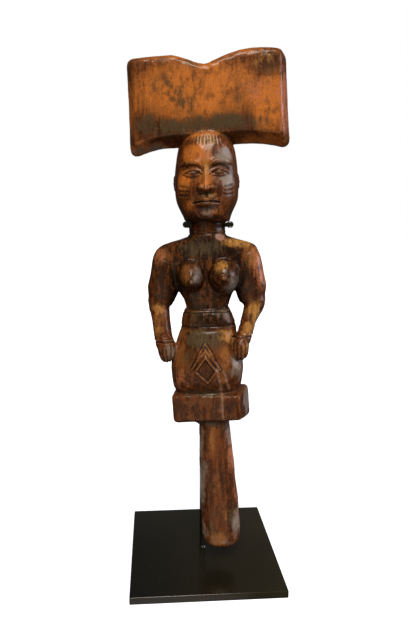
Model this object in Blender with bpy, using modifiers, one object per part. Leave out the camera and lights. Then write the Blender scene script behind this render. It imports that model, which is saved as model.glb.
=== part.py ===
"""A carved Yoruba Shango dance staff that hangs by its neck in a rod cradle on a steel plate.

The staff is one piece of wood: a kneeling woman, hands on her lap, with a double axe on her head
and a round handle below her slab. Its forms are laid out upright, in millimetres above the foot of
the handle, joined into one solid, carved, and then set in the cradle. X runs to the viewer's right,
Y to the back and Z up. The world's origin is the centre of the plate's underside.
"""

import math

import bmesh
import bpy
import numpy as np
from mathutils import Matrix, Vector

MM = 0.001
TOUCH_GAP = 0.3

# Stand
PLATE_SIDE = 127.0
PLATE_THICK = 6.35
POST_RADIUS = 2.4
CRADLE_RADIUS = 1.75
CRADLE_HEIGHT = 288.9
SLEEVE_BORE = 2.1
SLEEVE_RADIUS = 2.5
SLEEVE_LAP = 0.5
SLEEVE_STEPS = 7
# The cradle seen from above: left prong, round the back of the neck, right prong
CRADLE_PLAN = [
    (-15.1, -35.2), (-16.0, -30.0), (-16.6, -24.0), (-16.8, -16.5), (-14.0, -8.4), (-8.0, -3.2),
    (0.4, -1.4), (8.8, -3.2), (15.0, -8.4), (17.9, -16.5), (18.0, -23.5), (17.1, -28.4),
    (16.5, -31.8), (16.6, -35.2),
]

# Where the neck of the staff sits in the cradle, and how the staff hangs there
NECK_AT = (0.7, -21.0, 285.0 + PLATE_THICK)
NECK_LEVEL = 266.2
TURN = -7.0
LEAN = 2.0

# Quality of the finished solid
VOXEL = 1.0
TRIANGLES = 8500

# Each station of a form is: x, y, z, half width, half depth, squareness
HANDLE = [
    (4.9, 0.0, 0.0, 8.2, 8.0, 2.2),
    (4.9, 0.0, 1.4, 11.6, 11.0, 2.4),
    (4.7, 0.0, 4.8, 14.4, 13.6, 2.6),
    (4.6, 0.0, 10.2, 15.8, 14.8, 2.8),
    (4.5, 0.0, 19.2, 16.3, 15.0, 2.8),
    (4.0, 0.0, 37.2, 16.0, 14.8, 2.8),
    (2.8, 0.0, 55.2, 15.4, 14.4, 2.8),
    (2.0, 0.0, 82.2, 14.2, 13.4, 2.8),
    (1.1, 0.0, 107.2, 12.7, 12.3, 2.8),
    (0.9, 0.0, 123.2, 12.4, 12.1, 2.8),
]
LAP = [
    (-4.0, -1.0, 131.7, 22.0, 9.0, 2.6),
    (-3.8, -1.2, 135.2, 24.2, 11.6, 2.6),
    (-3.6, -1.8, 141.2, 27.2, 15.6, 2.6),
    (-3.4, -2.6, 149.2, 28.4, 18.6, 2.6),
    (-3.3, -3.0, 158.2, 29.0, 20.0, 2.5),
    (-3.3, -2.8, 167.2, 27.8, 19.6, 2.4),
    (-3.0, -2.2, 175.2, 25.6, 18.4, 2.3),
    (-2.4, -1.6, 181.8, 23.8, 17.2, 2.3),
    (-1.9, -1.1, 186.6, 22.4, 16.0, 2.3),
    (-1.5, -0.8, 189.2, 20.8, 14.0, 2.3),
    (-1.2, -0.5, 190.8, 18.0, 10.0, 2.3),
]
WAISTBAND = [
    (-1.4, 0.2, 179.2, 22.0, 12.0, 2.6),
    (-1.4, 0.2, 185.2, 22.4, 13.2, 2.6),
    (-1.4, 0.2, 190.7, 21.9, 13.6, 2.6),
    (-1.9, 0.2, 197.2, 20.4, 13.0, 2.6),
    (-2.3, 0.2, 202.4, 18.6, 12.2, 2.6),
    (-2.3, 0.2, 203.8, 17.8, 11.6, 2.6),
]
TRUNK = [
    (-1.9, 0.3, 198.2, 16.6, 10.0, 2.4),
    (-1.9, 0.3, 205.2, 16.9, 10.2, 2.4),
    (-1.9, 0.3, 211.2, 18.4, 10.6, 2.5),
    (-2.1, 0.5, 216.7, 21.2, 10.8, 2.7),
    (-1.9, 0.8, 225.2, 26.8, 11.0, 3.0),
    (-1.6, 1.0, 235.2, 31.5, 11.0, 3.2),
    (-1.4, 1.0, 243.2, 36.5, 10.9, 3.2),
    (-1.2, 0.8, 249.2, 40.4, 10.8, 2.9),
    (-1.4, 0.6, 253.6, 38.2, 11.0, 2.6),
    (-1.6, 0.5, 257.2, 28.4, 12.0, 2.3),
    (-0.9, 0.4, 260.2, 18.0, 12.8, 2.1),
    (-0.5, 0.4, 262.6, 12.6, 12.2, 2.0),
]
SHOULDERS = [
    (-1.6, 0.8, 232.6, 31.0, 7.4, 4.0),
    (-1.6, 0.8, 236.2, 35.4, 9.4, 4.2),
    (-1.5, 0.8, 241.2, 37.6, 10.2, 4.4),
    (-1.4, 0.8, 246.2, 39.0, 10.4, 4.2),
    (-1.3, 0.8, 250.4, 38.8, 9.8, 3.6),
    (-1.4, 0.7, 253.4, 36.0, 8.8, 3.0),
]
NECK = [
    (-0.5, 0.6, 247.2, 10.0, 7.0, 2.0),
    (-0.5, 0.4, 255.2, 14.0, 10.6, 2.0),
    (-0.6, 0.4, 259.2, 15.0, 12.8, 2.0),
    (-0.5, 0.4, 262.4, 14.8, 13.4, 2.0),
    (-0.4, 0.4, 263.8, 14.2, 12.8, 2.0),
    (-0.3, 0.4, 269.2, 14.2, 13.0, 2.0),
    (-0.1, 0.4, 275.2, 14.6, 13.6, 2.0),
    (-0.1, 0.4, 281.2, 15.2, 14.0, 2.0),
]
HEAD = [
    (0.0, -1.0, 272.6, 16.4, 16.0, 2.1),
    (0.0, -1.2, 273.4, 17.6, 17.8, 2.1),
    (0.0, -1.4, 276.2, 18.4, 19.6, 2.1),
    (0.1, -1.4, 281.2, 20.6, 21.4, 2.2),
    (0.2, -1.2, 288.2, 23.6, 22.8, 2.3),
    (0.2, -0.8, 297.2, 24.5, 22.8, 2.3),
    (0.3, -0.4, 307.2, 24.3, 22.6, 2.3),
    (0.5, -0.4, 316.2, 23.4, 22.0, 2.3),
    (0.7, -0.6, 325.2, 21.8, 20.2, 2.2),
    (0.9, -1.0, 332.0, 19.2, 17.7, 2.1),
    (1.1, -1.4, 336.6, 15.0, 15.0, 2.0),
    (1.2, -1.6, 338.6, 8.4, 10.4, 2.0),
]
ARM_LEFT = [
    (-31.5, 1.0, 249.8, 5.0, 6.5, 2.2),
    (-34.2, 0.8, 246.2, 8.8, 9.2, 2.4),
    (-35.0, 0.6, 241.2, 9.8, 10.2, 2.5),
    (-36.0, 0.8, 233.2, 10.4, 10.8, 2.5),
    (-36.7, 1.4, 222.2, 12.4, 10.8, 2.5),
    (-38.5, 1.8, 213.8, 10.9, 10.2, 2.4),
    (-40.5, 0.8, 207.6, 9.1, 9.4, 2.4),
    (-40.0, -1.4, 201.2, 7.7, 8.6, 2.4),
    (-39.0, -3.8, 194.2, 7.1, 7.8, 2.3),
    (-37.9, -6.2, 186.2, 7.1, 7.2, 2.2),
    (-36.6, -8.2, 178.7, 7.1, 6.8, 2.2),
    (-36.0, -8.8, 175.7, 6.4, 6.2, 2.2),
]
ARM_RIGHT = [
    (29.2, 1.0, 249.0, 5.0, 6.5, 2.2),
    (31.4, 0.8, 245.4, 8.6, 9.2, 2.4),
    (32.2, 0.6, 241.2, 9.6, 10.2, 2.5),
    (32.9, 0.8, 233.2, 10.4, 10.8, 2.5),
    (32.7, 1.4, 222.2, 12.5, 10.8, 2.5),
    (33.7, 1.8, 213.8, 11.1, 10.2, 2.4),
    (35.3, 0.8, 207.2, 9.2, 9.4, 2.4),
    (33.7, -1.4, 201.2, 7.3, 8.4, 2.4),
    (30.8, -4.2, 194.2, 6.1, 7.4, 2.3),
    (28.0, -7.0, 186.2, 6.0, 6.8, 2.2),
    (25.6, -9.2, 179.7, 6.1, 6.6, 2.2),
    (25.0, -10.0, 176.7, 5.6, 6.0, 2.2),
]
FIST_LEFT = [
    (-35.4, -8.8, 180.6, 4.6, 5.0, 2.2),
    (-35.0, -9.4, 178.4, 6.6, 7.2, 2.4),
    (-34.6, -10.0, 173.2, 7.2, 8.2, 2.6),
    (-33.8, -10.2, 167.8, 6.4, 7.8, 2.6),
    (-32.4, -10.0, 164.0, 3.8, 5.2, 2.2),
]
FIST_RIGHT = [
    (24.8, -10.8, 182.2, 4.2, 5.0, 2.2),
    (24.4, -11.4, 180.0, 5.8, 7.0, 2.4),
    (23.9, -12.2, 174.4, 6.3, 8.2, 2.6),
    (23.0, -12.6, 169.0, 5.8, 7.8, 2.6),
    (21.8, -12.4, 165.0, 3.4, 5.0, 2.2),
]
# Each station of a breast runs out from the chest to its point
BREAST_LEFT = [
    (-13.2, -5.0, 230.4, 10.4, 13.8, 2.0),
    (-13.3, -10.0, 230.4, 10.3, 12.8, 2.0),
    (-13.3, -14.8, 229.9, 9.0, 10.6, 2.0),
    (-13.2, -18.6, 228.8, 6.7, 7.6, 2.0),
    (-13.1, -21.0, 227.8, 4.2, 4.7, 2.0),
    (-13.0, -22.5, 226.9, 2.1, 2.3, 2.0),
    (-13.0, -24.2, 226.4, 1.4, 1.4, 2.0),
]
BREAST_RIGHT = [
    (12.0, -5.0, 229.8, 12.2, 14.4, 2.0),
    (12.0, -10.0, 230.2, 12.0, 13.6, 2.0),
    (12.0, -15.2, 230.4, 10.6, 11.2, 2.0),
    (11.9, -19.3, 230.2, 8.1, 8.4, 2.0),
    (11.8, -22.0, 229.9, 5.1, 5.4, 2.0),
    (11.7, -23.5, 229.7, 2.4, 2.6, 2.0),
    (11.7, -25.3, 229.6, 1.4, 1.4, 2.0),
]

# Slab under the figure
SLAB_SIZE = (55.2, 33.8, 23.4)
SLAB_AT = (-3.1, 0.1, 124.6)
SLAB_TURN = -6.0
SLAB_ROLL = -2.3
SLAB_ROUND = 3.0
SLAB_SPREADS = (0.0012, 0.0056)
SLAB_TAPER = 0.0022
SLAB_DROP = 0.022
SLAB_DROP_FROM = 11.0

# Double axe
AXE_AT = (2.6, 1.5, 361.2)
AXE_HALF_LENGTH = 59.5
AXE_ROLL = -0.95
AXE_TURN = 0.0
AXE_TOP = 34.2
AXE_BOTTOM = -31.2
AXE_NOTCH = 8.0
AXE_NOTCH_AT = 0.4
AXE_NOTCH_REACH = (27.0, 40.0)
AXE_ARCH = 1.4
AXE_FLARES = (5.0, 4.5)
AXE_FLARE_FROM = 30.0
AXE_HALF_THICK = (15.6, 12.0, 3.4)
AXE_BEVEL = 7.0
AXE_END_BEVEL = 5.0
AXE_CORNER = 4.6
AXE_TOP_CORNERS = (3.0, 8.0)
AXE_SPREAD = 0.06
AXE_SPREAD_BELOW = 0.45

# Face: a calm one on even thirds, with lidded eyes and a wedge of a nose
FACE_MIDDLE = 0.2
JAW_LEVEL = 279.0
JAW_BLEND = 4.0
EYE_LEVEL = 307.8
EYE_APART = 19.6
EYE_HALF = (5.3, 3.6, 2.5)
EYE_FRONT = -18.6
EAR_APART = 48.0
EAR_AT = (1.0, 302.2)
EAR_HALF = (1.9, 3.4, 6.4)
NOSE_ROOT = 312.2
NOSE_BASE = 294.6
NOSE_HALF_WIDTH = (2.2, 6.6)
NOSE_AXIS = -17.4
NOSE_DEPTH = (7.0, 13.2)
MOUTH_LEVEL = 286.8
MOUTH_WIDTH = 19.0
MOUTH_FRONT = -22.2
MOUTH_BOW = 0.034
LIPS = ((1.5, 1.5, 1.7), (-1.6, 1.6, 1.9))
# Presses in the front of the head: across, up, half width, half height, depth (below 0 is out)
EYE_PRESSES = (
    (0.0, 0.6, 9.0, 6.0, 2.6),
    (1.0, 7.6, 9.5, 2.4, -1.3),
    (3.0, -12.6, 7.0, 6.0, -0.9),
)
MOUTH_PRESSES = (
    (-8.6, 0.0, 3.0, 4.0, 0.8),
    (8.6, 0.0, 3.0, 4.0, 0.8),
    (0.0, 0.0, 9.0, 7.0, -1.6),
    (0.0, -5.6, 6.0, 2.0, 0.9),
    (0.0, -9.6, 7.0, 3.4, -1.4),
)

# Lozenge on the lap: centre, half width, reach up and down, depth of its floor, border
LOZENGE_AT = (-4.0, 157.2)
LOZENGE_HALF_WIDTH = 8.0
LOZENGE_UP = 11.0
LOZENGE_DOWN = 9.8
LOZENGE_FLOOR = 1.5
LOZENGE_BORDER = (2.4, 0.8)
# The ridges of the chevrons over it: half width, foot and apex above its centre
CHEVRONS = ((10.7, 2.8, 20.8), (9.4, 5.0, 16.6))
CHEVRON_RIDGE = (1.6, 0.4)
CHEVRON_GROOVE = (1.7, 0.9)

# Hands: the wrist lines and the grooves between the fingers
WRIST_LEVELS = (179.8, 182.6)
WRIST_GROOVE = (2.0, 0.9)
FINGER_GROOVE = (1.8, 0.9)
FINGER_APART = (3.4, 2.8)


def section(half_width, half_depth, squareness, sides):
    """One closed cross-section: an ellipse at squareness 2, and boxier above it."""
    angle = np.arange(sides) * 2 * math.pi / sides
    across = np.abs(np.cos(angle) / half_width) ** squareness
    along = np.abs(np.sin(angle) / half_depth) ** squareness
    radius = (across + along) ** (-1 / squareness)
    return np.stack([np.cos(angle) * radius, np.sin(angle) * radius], axis=1)


def between(stations, steps):
    """Rows on the smooth curve through the stations, with so many steps from each to the next."""
    table = np.array(stations, float)
    slopes = np.gradient(table, axis=0)
    spot = np.linspace(0, len(table) - 1, (len(table) - 1) * steps + 1)
    index = np.minimum(spot.astype(int), len(table) - 2)
    t = (spot - index)[:, None]
    start, end = table[index], table[index + 1]
    rise = (3 - 2 * t) * t * t
    return (
        start + (end - start) * rise
        + slopes[index] * (t * (1 - t) ** 2)
        - slopes[index + 1] * (t * t * (1 - t))
    )


def closed_form(rings):
    """Vertices and faces of a closed skin over a row of equal rings, with flat ends."""
    rings = np.asarray(rings)
    rows, sides = rings.shape[:2]
    verts = rings.reshape(-1, 3)
    faces = []
    for row in range(rows - 1):
        for side in range(sides):
            near = row * sides + side
            far = row * sides + (side + 1) % sides
            faces.append((near, far, far + sides, near + sides))
    faces.append(tuple(reversed(range(sides))))
    faces.append(tuple(range((rows - 1) * sides, rows * sides)))
    return verts, faces


def level_form(stations, sides=40, steps=6):
    """A form whose cross-sections all lie level, such as the trunk."""
    rings = []
    for x, y, z, half_width, half_depth, squareness in between(stations, steps):
        flat = section(half_width, half_depth, squareness, sides)
        rings.append(np.column_stack([x + flat[:, 0], y + flat[:, 1], np.full(sides, z)]))
    return closed_form(rings)


def limb_form(stations, sides=28, steps=6):
    """A form whose cross-sections stand square to its own run, such as an arm."""
    rows = between(stations, steps)
    runs = np.gradient(rows[:, :3], axis=0)
    rings = []
    for row, run in zip(rows, runs):
        run = Vector(run).normalized()
        depth = run.cross(Vector((1, 0, 0))).normalized()
        width = depth.cross(run)
        flat = section(row[3], row[4], row[5], sides)
        rings.append(row[:3] + flat[:, :1] * np.array(width) + flat[:, 1:] * np.array(depth))
    return closed_form(rings)


def slab_form():
    """The slab: a box with worn edges, deeper at its left end and spreading to the back."""
    solid = bmesh.new()
    bmesh.ops.create_cube(solid, size=1.0)
    bmesh.ops.scale(solid, vec=SLAB_SIZE, verts=solid.verts)
    bmesh.ops.bevel(
        solid, geom=solid.edges[:], offset=SLAB_ROUND, segments=3, profile=0.5, affect="EDGES"
    )
    for vert in solid.verts:
        vert.co.z *= 1 - SLAB_TAPER * vert.co.x
        if vert.co.z < 0:
            vert.co.z *= 1 + SLAB_DROP * (vert.co.y + SLAB_DROP_FROM)
        behind_front = vert.co.y + SLAB_SIZE[1] / 2
        vert.co.x *= 1 + SLAB_SPREADS[vert.co.x > 0] * behind_front
    turn = Matrix.Rotation(math.radians(SLAB_TURN), 4, "Z")
    roll = Matrix.Rotation(math.radians(SLAB_ROLL), 4, "Y")
    solid.transform(Matrix.Translation(SLAB_AT) @ turn @ roll)
    verts = np.array([v.co for v in solid.verts])
    faces = [[v.index for v in face.verts] for face in solid.faces]
    solid.free()
    return verts, faces


def corner_drop(distance, radius):
    """How far an outline falls back within a round corner, at a distance from the corner's end."""
    inside = np.clip(radius - distance, 0, radius)
    return radius - np.sqrt(radius**2 - inside**2)


def notch_share(x):
    """How much of the notch is left at a place along the axe: steep on its left, long on its right."""
    away = x - AXE_NOTCH_AT
    left, right = AXE_NOTCH_REACH
    if away < 0:
        share = min(1.0, -away / left)
        return 1 - share * share * (3 - 2 * share)
    return (1 - min(1.0, away / right)) ** 2


def axe_outline(x):
    """Top and bottom of the axe at a distance from its middle."""
    end = AXE_HALF_LENGTH - abs(x)
    arch = AXE_ARCH * math.sin(math.pi * max(0.0, x) / AXE_HALF_LENGTH) ** 2
    share = max(0.0, abs(x) - AXE_FLARE_FROM) / (AXE_HALF_LENGTH - AXE_FLARE_FROM)
    flare = AXE_FLARES[0 if x < 0 else 1] * min(1.0, share * 1.2) ** 1.8
    top_corner = corner_drop(end, AXE_TOP_CORNERS[0] if x < 0 else AXE_TOP_CORNERS[1])
    top = AXE_TOP + arch - AXE_NOTCH * notch_share(x) - top_corner
    return top, AXE_BOTTOM - flare + corner_drop(end, AXE_CORNER)


def axe_form(columns=96, rows=30):
    """The double axe: a thick cushion, notched above, flared to both blades and bevelled."""
    middle, crease, rim = AXE_HALF_THICK
    rings = []
    for spot in np.linspace(-1, 1, columns):
        x = math.sin(spot * math.pi / 2) * AXE_HALF_LENGTH
        top, bottom = axe_outline(x)
        body = crease + (middle - crease) * (1 - (abs(x) / AXE_HALF_LENGTH) ** 1.6)
        edge = min(1.0, (AXE_HALF_LENGTH - abs(x)) / AXE_END_BEVEL)
        body = rim + (body - rim) * edge
        climb = (1 - np.cos(np.linspace(0, math.pi, rows))) / 2
        height = bottom + (top - bottom) * climb
        low = np.clip((height - bottom) / AXE_BEVEL, 0, 1)
        high = np.clip((top - height) / AXE_END_BEVEL, 0, 1)
        swell = 1 + 0.05 * np.sin(math.pi * climb)
        thick = (rim + (body - rim) * low) * np.sqrt(1 - (1 - high) ** 2 * 0.9) * swell
        spread = x * (1 + AXE_SPREAD * np.clip(AXE_SPREAD_BELOW - climb, 0, 1))
        front = np.column_stack([spread, -thick, height])
        back = np.column_stack([spread, thick, height])[::-1]
        rings.append(np.vstack([front, back]))
    verts, faces = closed_form(rings)
    turn = Matrix.Rotation(math.radians(AXE_TURN), 3, "Z")
    roll = Matrix.Rotation(math.radians(AXE_ROLL), 3, "Y")
    return verts @ np.array(turn @ roll).T + np.array(AXE_AT), faces


def nose_form(rows=12, sides=20):
    """The nose: a wedge that widens and stands out towards its base."""
    rings = []
    for share in np.linspace(0, 1, rows):
        z = NOSE_ROOT + (NOSE_BASE - NOSE_ROOT) * share
        half = NOSE_HALF_WIDTH[0] + (NOSE_HALF_WIDTH[1] - NOSE_HALF_WIDTH[0]) * share**1.6
        deep = NOSE_DEPTH[0] + (NOSE_DEPTH[1] - NOSE_DEPTH[0]) * share**1.1
        x, y = section(half, deep, 2.0, sides).T
        rings.append(np.column_stack([FACE_MIDDLE + x, NOSE_AXIS + y, np.full(sides, z)]))
    return closed_form(rings[::-1])


def bead(at, half):
    """A small rounded form, such as an eyeball or an ear."""
    stations = []
    for angle in np.linspace(-0.46, 0.46, 9) * math.pi:
        ring = math.cos(angle)
        level = at[2] + half[2] * math.sin(angle)
        stations.append((at[0], at[1], level, half[0] * ring, half[1] * ring, 2.0))
    return level_form(stations, sides=20, steps=2)


def lip_form(above, half_height, proud, sides=16):
    """One lip: a bow that follows the front of the jaw and thins to its corners."""
    stations = []
    for share in np.linspace(-1, 1, 9):
        x = share * MOUTH_WIDTH / 2
        size = max(0.12, 1 - abs(share) ** 2.2)
        level = MOUTH_LEVEL + above - 0.5 * abs(share)
        stations.append((
            FACE_MIDDLE + x, MOUTH_FRONT + MOUTH_BOW * x * x, level,
            proud * size + 0.4, half_height * size + 0.2,
        ))
    rings = []
    for x, y, z, out, high in between(stations, 3):
        flat = section(out, high, 2.0, sides)
        rings.append(np.column_stack([np.full(sides, x), y - flat[:, 0], z + flat[:, 1]]))
    return closed_form(rings[::-1])


def staff_forms():
    """Every overlapping form of the carving."""
    forms = [level_form(table) for table in (HANDLE, LAP, WAISTBAND, TRUNK, SHOULDERS, NECK)]
    forms += [limb_form(table) for table in (ARM_LEFT, ARM_RIGHT, FIST_LEFT, FIST_RIGHT)]
    forms += [limb_form(table) for table in (BREAST_LEFT, BREAST_RIGHT)]
    forms += [slab_form(), axe_form(), head_form(), nose_form()]
    for side in (-1, 1):
        forms.append(bead((FACE_MIDDLE + side * EYE_APART / 2, EYE_FRONT, EYE_LEVEL), EYE_HALF))
        forms.append(bead((FACE_MIDDLE + side * EAR_APART / 2, *EAR_AT), EAR_HALF))
    forms += [lip_form(*lip) for lip in LIPS]
    return forms


def joined_mesh(name, forms):
    """One mesh that holds all the forms, each still its own closed skin."""
    solid = bmesh.new()
    for verts, faces in forms:
        made = [solid.verts.new(v * MM) for v in np.asarray(verts)]
        for face in faces:
            solid.faces.new([made[i] for i in face])
    bmesh.ops.recalc_face_normals(solid, faces=solid.faces)
    mesh = bpy.data.meshes.new(name)
    solid.to_mesh(mesh)
    solid.free()
    return mesh


def press(points, middle, level, shape):
    """Press a smooth dish into the front of the head, or a swelling where its depth is below 0."""
    across, up, half_width, half_height, depth = shape
    reach = ((points[:, 0] - middle - across) / half_width) ** 2
    reach += ((points[:, 2] - level - up) / half_height) ** 2
    front = points[:, 1] < -6
    points[:, 1] += np.where(front, depth * np.exp(-1.6 * reach), 0.0)


def head_form():
    """The head: an egg with eye sockets, brows, cheeks and chin worked into its front.

    The staff leans, but the jaw's underside is cut level, where it rests on the prongs.
    """
    points, faces = level_form(HEAD, sides=96, steps=10)
    low = np.clip((JAW_LEVEL - points[:, 2]) / JAW_BLEND, 0, 1)
    points[:, 2] -= low * points[:, 0] * math.tan(math.radians(LEAN))
    for side in (-1, 1):
        middle = FACE_MIDDLE + side * EYE_APART / 2
        for across, *shape in EYE_PRESSES:
            press(points, middle, EYE_LEVEL, (side * across, *shape))
    for shape in MOUTH_PRESSES:
        press(points, FACE_MIDDLE, MOUTH_LEVEL, shape)
    return points, faces


def line_distance(points, line):
    """How far each point is, seen from the front, from a bent line of (x, z) places."""
    flat = points[:, [0, 2]]
    nearest = np.full(len(points), np.inf)
    for start, end in zip(line, line[1:]):
        start = np.array(start)
        run = np.array(end) - start
        share = np.clip((flat - start) @ run / (run @ run), 0, 1)
        away = np.linalg.norm(flat - start - share[:, None] * run, axis=1)
        nearest = np.minimum(nearest, away)
    return nearest


def cut(points, normals, distance, width, depth, where):
    """Cut a rounded groove of this width and depth, or raise a ridge where depth is negative."""
    share = np.clip(1 - (2 * distance / width) ** 2, 0, 1)
    points -= normals * (depth * share * where)[:, None]


def carve_lap(points, normals):
    """The lozenge on the lap: a sunk rhomb in a raised border, under two nested chevrons."""
    front = (normals[:, 1] < -0.1) & (points[:, 1] < -8)
    x, z = LOZENGE_AT
    top, bottom = (x, z + LOZENGE_UP), (x, z - LOZENGE_DOWN)
    left, right = (x - LOZENGE_HALF_WIDTH, z), (x + LOZENGE_HALF_WIDTH, z)
    border = line_distance(points, [top, right, bottom, left, top])
    height = np.where(points[:, 2] > z, LOZENGE_UP, LOZENGE_DOWN)
    reach = np.abs(points[:, 0] - x) / LOZENGE_HALF_WIDTH + np.abs(points[:, 2] - z) / height
    sunk = np.clip((1 - reach) * 5, 0, 1)
    points -= normals * (LOZENGE_FLOOR * sunk * front)[:, None]
    cut(points, normals, border, LOZENGE_BORDER[0], -LOZENGE_BORDER[1], front)
    for half, foot, apex in CHEVRONS:
        away = line_distance(points, [(x - half, z + foot), (x, z + apex), (x + half, z + foot)])
        cut(points, normals, away, CHEVRON_RIDGE[0], -CHEVRON_RIDGE[1], front)
        beside = np.abs(away - CHEVRON_GROOVE[0])
        cut(points, normals, beside, CHEVRON_GROOVE[0], CHEVRON_GROOVE[1], front & (reach > 1.15))


def carve_hands(points, normals):
    """Wrist lines and the grooves between the fingers of both fists."""
    for fist, level in zip((FIST_LEFT, FIST_RIGHT), WRIST_LEVELS):
        middle = fist[2][0]
        near = (np.abs(points[:, 0] - middle) < 10) & (points[:, 1] < 2)
        cut(points, normals, np.abs(points[:, 2] - level), *WRIST_GROOVE, near)
        front = near & (normals[:, 1] < 0.2)
        for finger in (-1, 0, 1):
            knuckle = (middle + finger * FINGER_APART[0], fist[2][2] + 2)
            tip = (fist[3][0] + 1 + finger * FINGER_APART[1], fist[4][2])
            cut(points, normals, line_distance(points, [knuckle, tip]), *FINGER_GROOVE, front)


def carve_mouth(points, normals):
    """The line between the lips."""
    front = (normals[:, 1] < -0.2) & (points[:, 1] < -15)
    half = MOUTH_WIDTH / 2
    corner = MOUTH_LEVEL - 0.6
    line = [(FACE_MIDDLE - half, corner), (FACE_MIDDLE, MOUTH_LEVEL), (FACE_MIDDLE + half, corner)]
    cut(points, normals, line_distance(points, line), 1.6, 0.9, front)


def material(name, colour, roughness, metallic=0.0):
    """A plain material from an sRGB hex colour."""
    parts = [int(colour[i : i + 2], 16) / 255 for i in (0, 2, 4)]
    linear = [c / 12.92 if c <= 0.04045 else ((c + 0.055) / 1.055) ** 2.4 for c in parts]
    made = bpy.data.materials.new(name)
    made.use_nodes = True
    shader = made.node_tree.nodes["Principled BSDF"]
    shader.inputs["Base Color"].default_value = (*linear, 1)
    shader.inputs["Roughness"].default_value = roughness
    shader.inputs["Metallic"].default_value = metallic
    made.diffuse_color = (*linear, 1)
    return made


def place(name, data, finish, collection):
    """A new object in the model's collection."""
    made = bpy.data.objects.new(name, data)
    collection.objects.link(made)
    data.materials.clear()
    data.materials.append(finish)
    return made


def applied(obj):
    """The mesh of an object with its modifiers worked in."""
    graph = bpy.context.evaluated_depsgraph_get()
    return bpy.data.meshes.new_from_object(obj.evaluated_get(graph))


def build_staff(collection, wood):
    """Join the forms, carve them and set the staff in the cradle."""
    rough = place("rough", joined_mesh("rough", staff_forms()), wood, collection)
    join = rough.modifiers.new("Join", "REMESH")
    join.mode = "VOXEL"
    join.voxel_size = VOXEL * MM
    ease = rough.modifiers.new("Ease", "SMOOTH")
    ease.factor = 0.5
    ease.iterations = 2
    mesh = applied(rough)
    bpy.data.objects.remove(rough)

    count = len(mesh.vertices)
    points = np.empty(count * 3)
    mesh.vertices.foreach_get("co", points)
    points = points.reshape(-1, 3) / MM
    normals = np.empty(count * 3)
    mesh.vertices.foreach_get("normal", normals)
    normals = normals.reshape(-1, 3)
    for work in (carve_lap, carve_hands, carve_mouth):
        work(points, normals)
    mesh.vertices.foreach_set("co", (points * MM).ravel())

    mesh.name = "carved_staff"
    staff = place("carved_staff", mesh, wood, collection)
    thin = staff.modifiers.new("Thin", "DECIMATE")
    thin.ratio = TRIANGLES / sum(len(face.vertices) - 2 for face in mesh.polygons)
    thin.use_collapse_triangulate = True
    staff.matrix_world = (
        Matrix.Translation(Vector(NECK_AT) * MM)
        @ Matrix.Rotation(math.radians(TURN), 4, "Z")
        @ Matrix.Rotation(math.radians(-LEAN), 4, "Y")
        @ Matrix.Translation((0, 0, -NECK_LEVEL * MM))
    )
    return staff


def build_plate(collection, steel):
    """The base plate, with its edges barely broken."""
    solid = bmesh.new()
    bmesh.ops.create_cube(solid, size=1.0)
    bmesh.ops.scale(solid, vec=(PLATE_SIDE * MM, PLATE_SIDE * MM, PLATE_THICK * MM), verts=solid.verts)
    bmesh.ops.bevel(solid, geom=solid.edges[:], offset=0.5 * MM, segments=2, profile=0.5, affect="EDGES")
    mesh = bpy.data.meshes.new("base_plate")
    solid.to_mesh(mesh)
    solid.free()
    plate = place("base_plate", mesh, steel, collection)
    plate.location.z = PLATE_THICK / 2 * MM


def rod(name, path, radius, finish, collection, caps=True):
    """A bent rod along a path of places in millimetres; without caps it is an open tube."""
    curve = bpy.data.curves.new(name, "CURVE")
    curve.dimensions = "3D"
    curve.bevel_depth = radius * MM
    curve.bevel_resolution = 2 if caps else 3
    curve.use_fill_caps = caps
    spline = curve.splines.new("POLY")
    spline.points.add(len(path) - 1)
    for point, at in zip(spline.points, path):
        point.co = (*(Vector(at) * MM), 1)
    return place(name, curve, finish, collection)


def build_post(collection, steel):
    """The straight rod on the middle of the plate, cut off under the cradle."""
    foot = PLATE_THICK + TOUCH_GAP
    top = PLATE_THICK + CRADLE_HEIGHT - CRADLE_RADIUS - TOUCH_GAP
    solid = bmesh.new()
    bmesh.ops.create_cone(
        solid, cap_ends=True, segments=24, radius1=POST_RADIUS * MM, radius2=POST_RADIUS * MM,
        depth=(top - foot) * MM,
    )
    mesh = bpy.data.meshes.new("post")
    solid.to_mesh(mesh)
    solid.free()
    post = place("post", mesh, steel, collection)
    post.location.z = (foot + top) / 2 * MM


def build_cradle(collection, steel, rubber):
    """The cradle's bent rod, and a sleeve over the end of each prong."""
    height = PLATE_THICK + CRADLE_HEIGHT
    path = between([(x, y, height) for x, y in CRADLE_PLAN], 3)
    rod("neck_cradle", path, CRADLE_RADIUS, steel, collection)
    ends = (("left_sleeve", path[:SLEEVE_STEPS]), ("right_sleeve", path[::-1][:SLEEVE_STEPS]))
    for name, run in ends:
        run = run.copy()
        run[0] += (run[0] - run[1]) / np.linalg.norm(run[0] - run[1]) * SLEEVE_LAP
        tube = rod("tube", run, SLEEVE_RADIUS, rubber, collection, caps=False)
        mesh = applied(tube)
        bpy.data.objects.remove(tube)
        mesh.name = name
        sleeve = place(name, mesh, rubber, collection)
        wall = sleeve.modifiers.new("Wall", "SOLIDIFY")
        wall.thickness = (SLEEVE_RADIUS - SLEEVE_BORE) * MM
        wall.offset = -1


def main():
    for old in list(bpy.data.objects):
        bpy.data.objects.remove(old)
    collection = bpy.data.collections.new("shango_staff")
    bpy.context.scene.collection.children.link(collection)
    wood = material("oiled hardwood", "6b3a20", 0.45)
    steel = material("black painted steel", "1a1a18", 0.35)
    rubber = material("black rubber", "101010", 0.6)
    build_plate(collection, steel)
    build_post(collection, steel)
    build_cradle(collection, steel, rubber)
    build_staff(collection, wood)


main()
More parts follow.
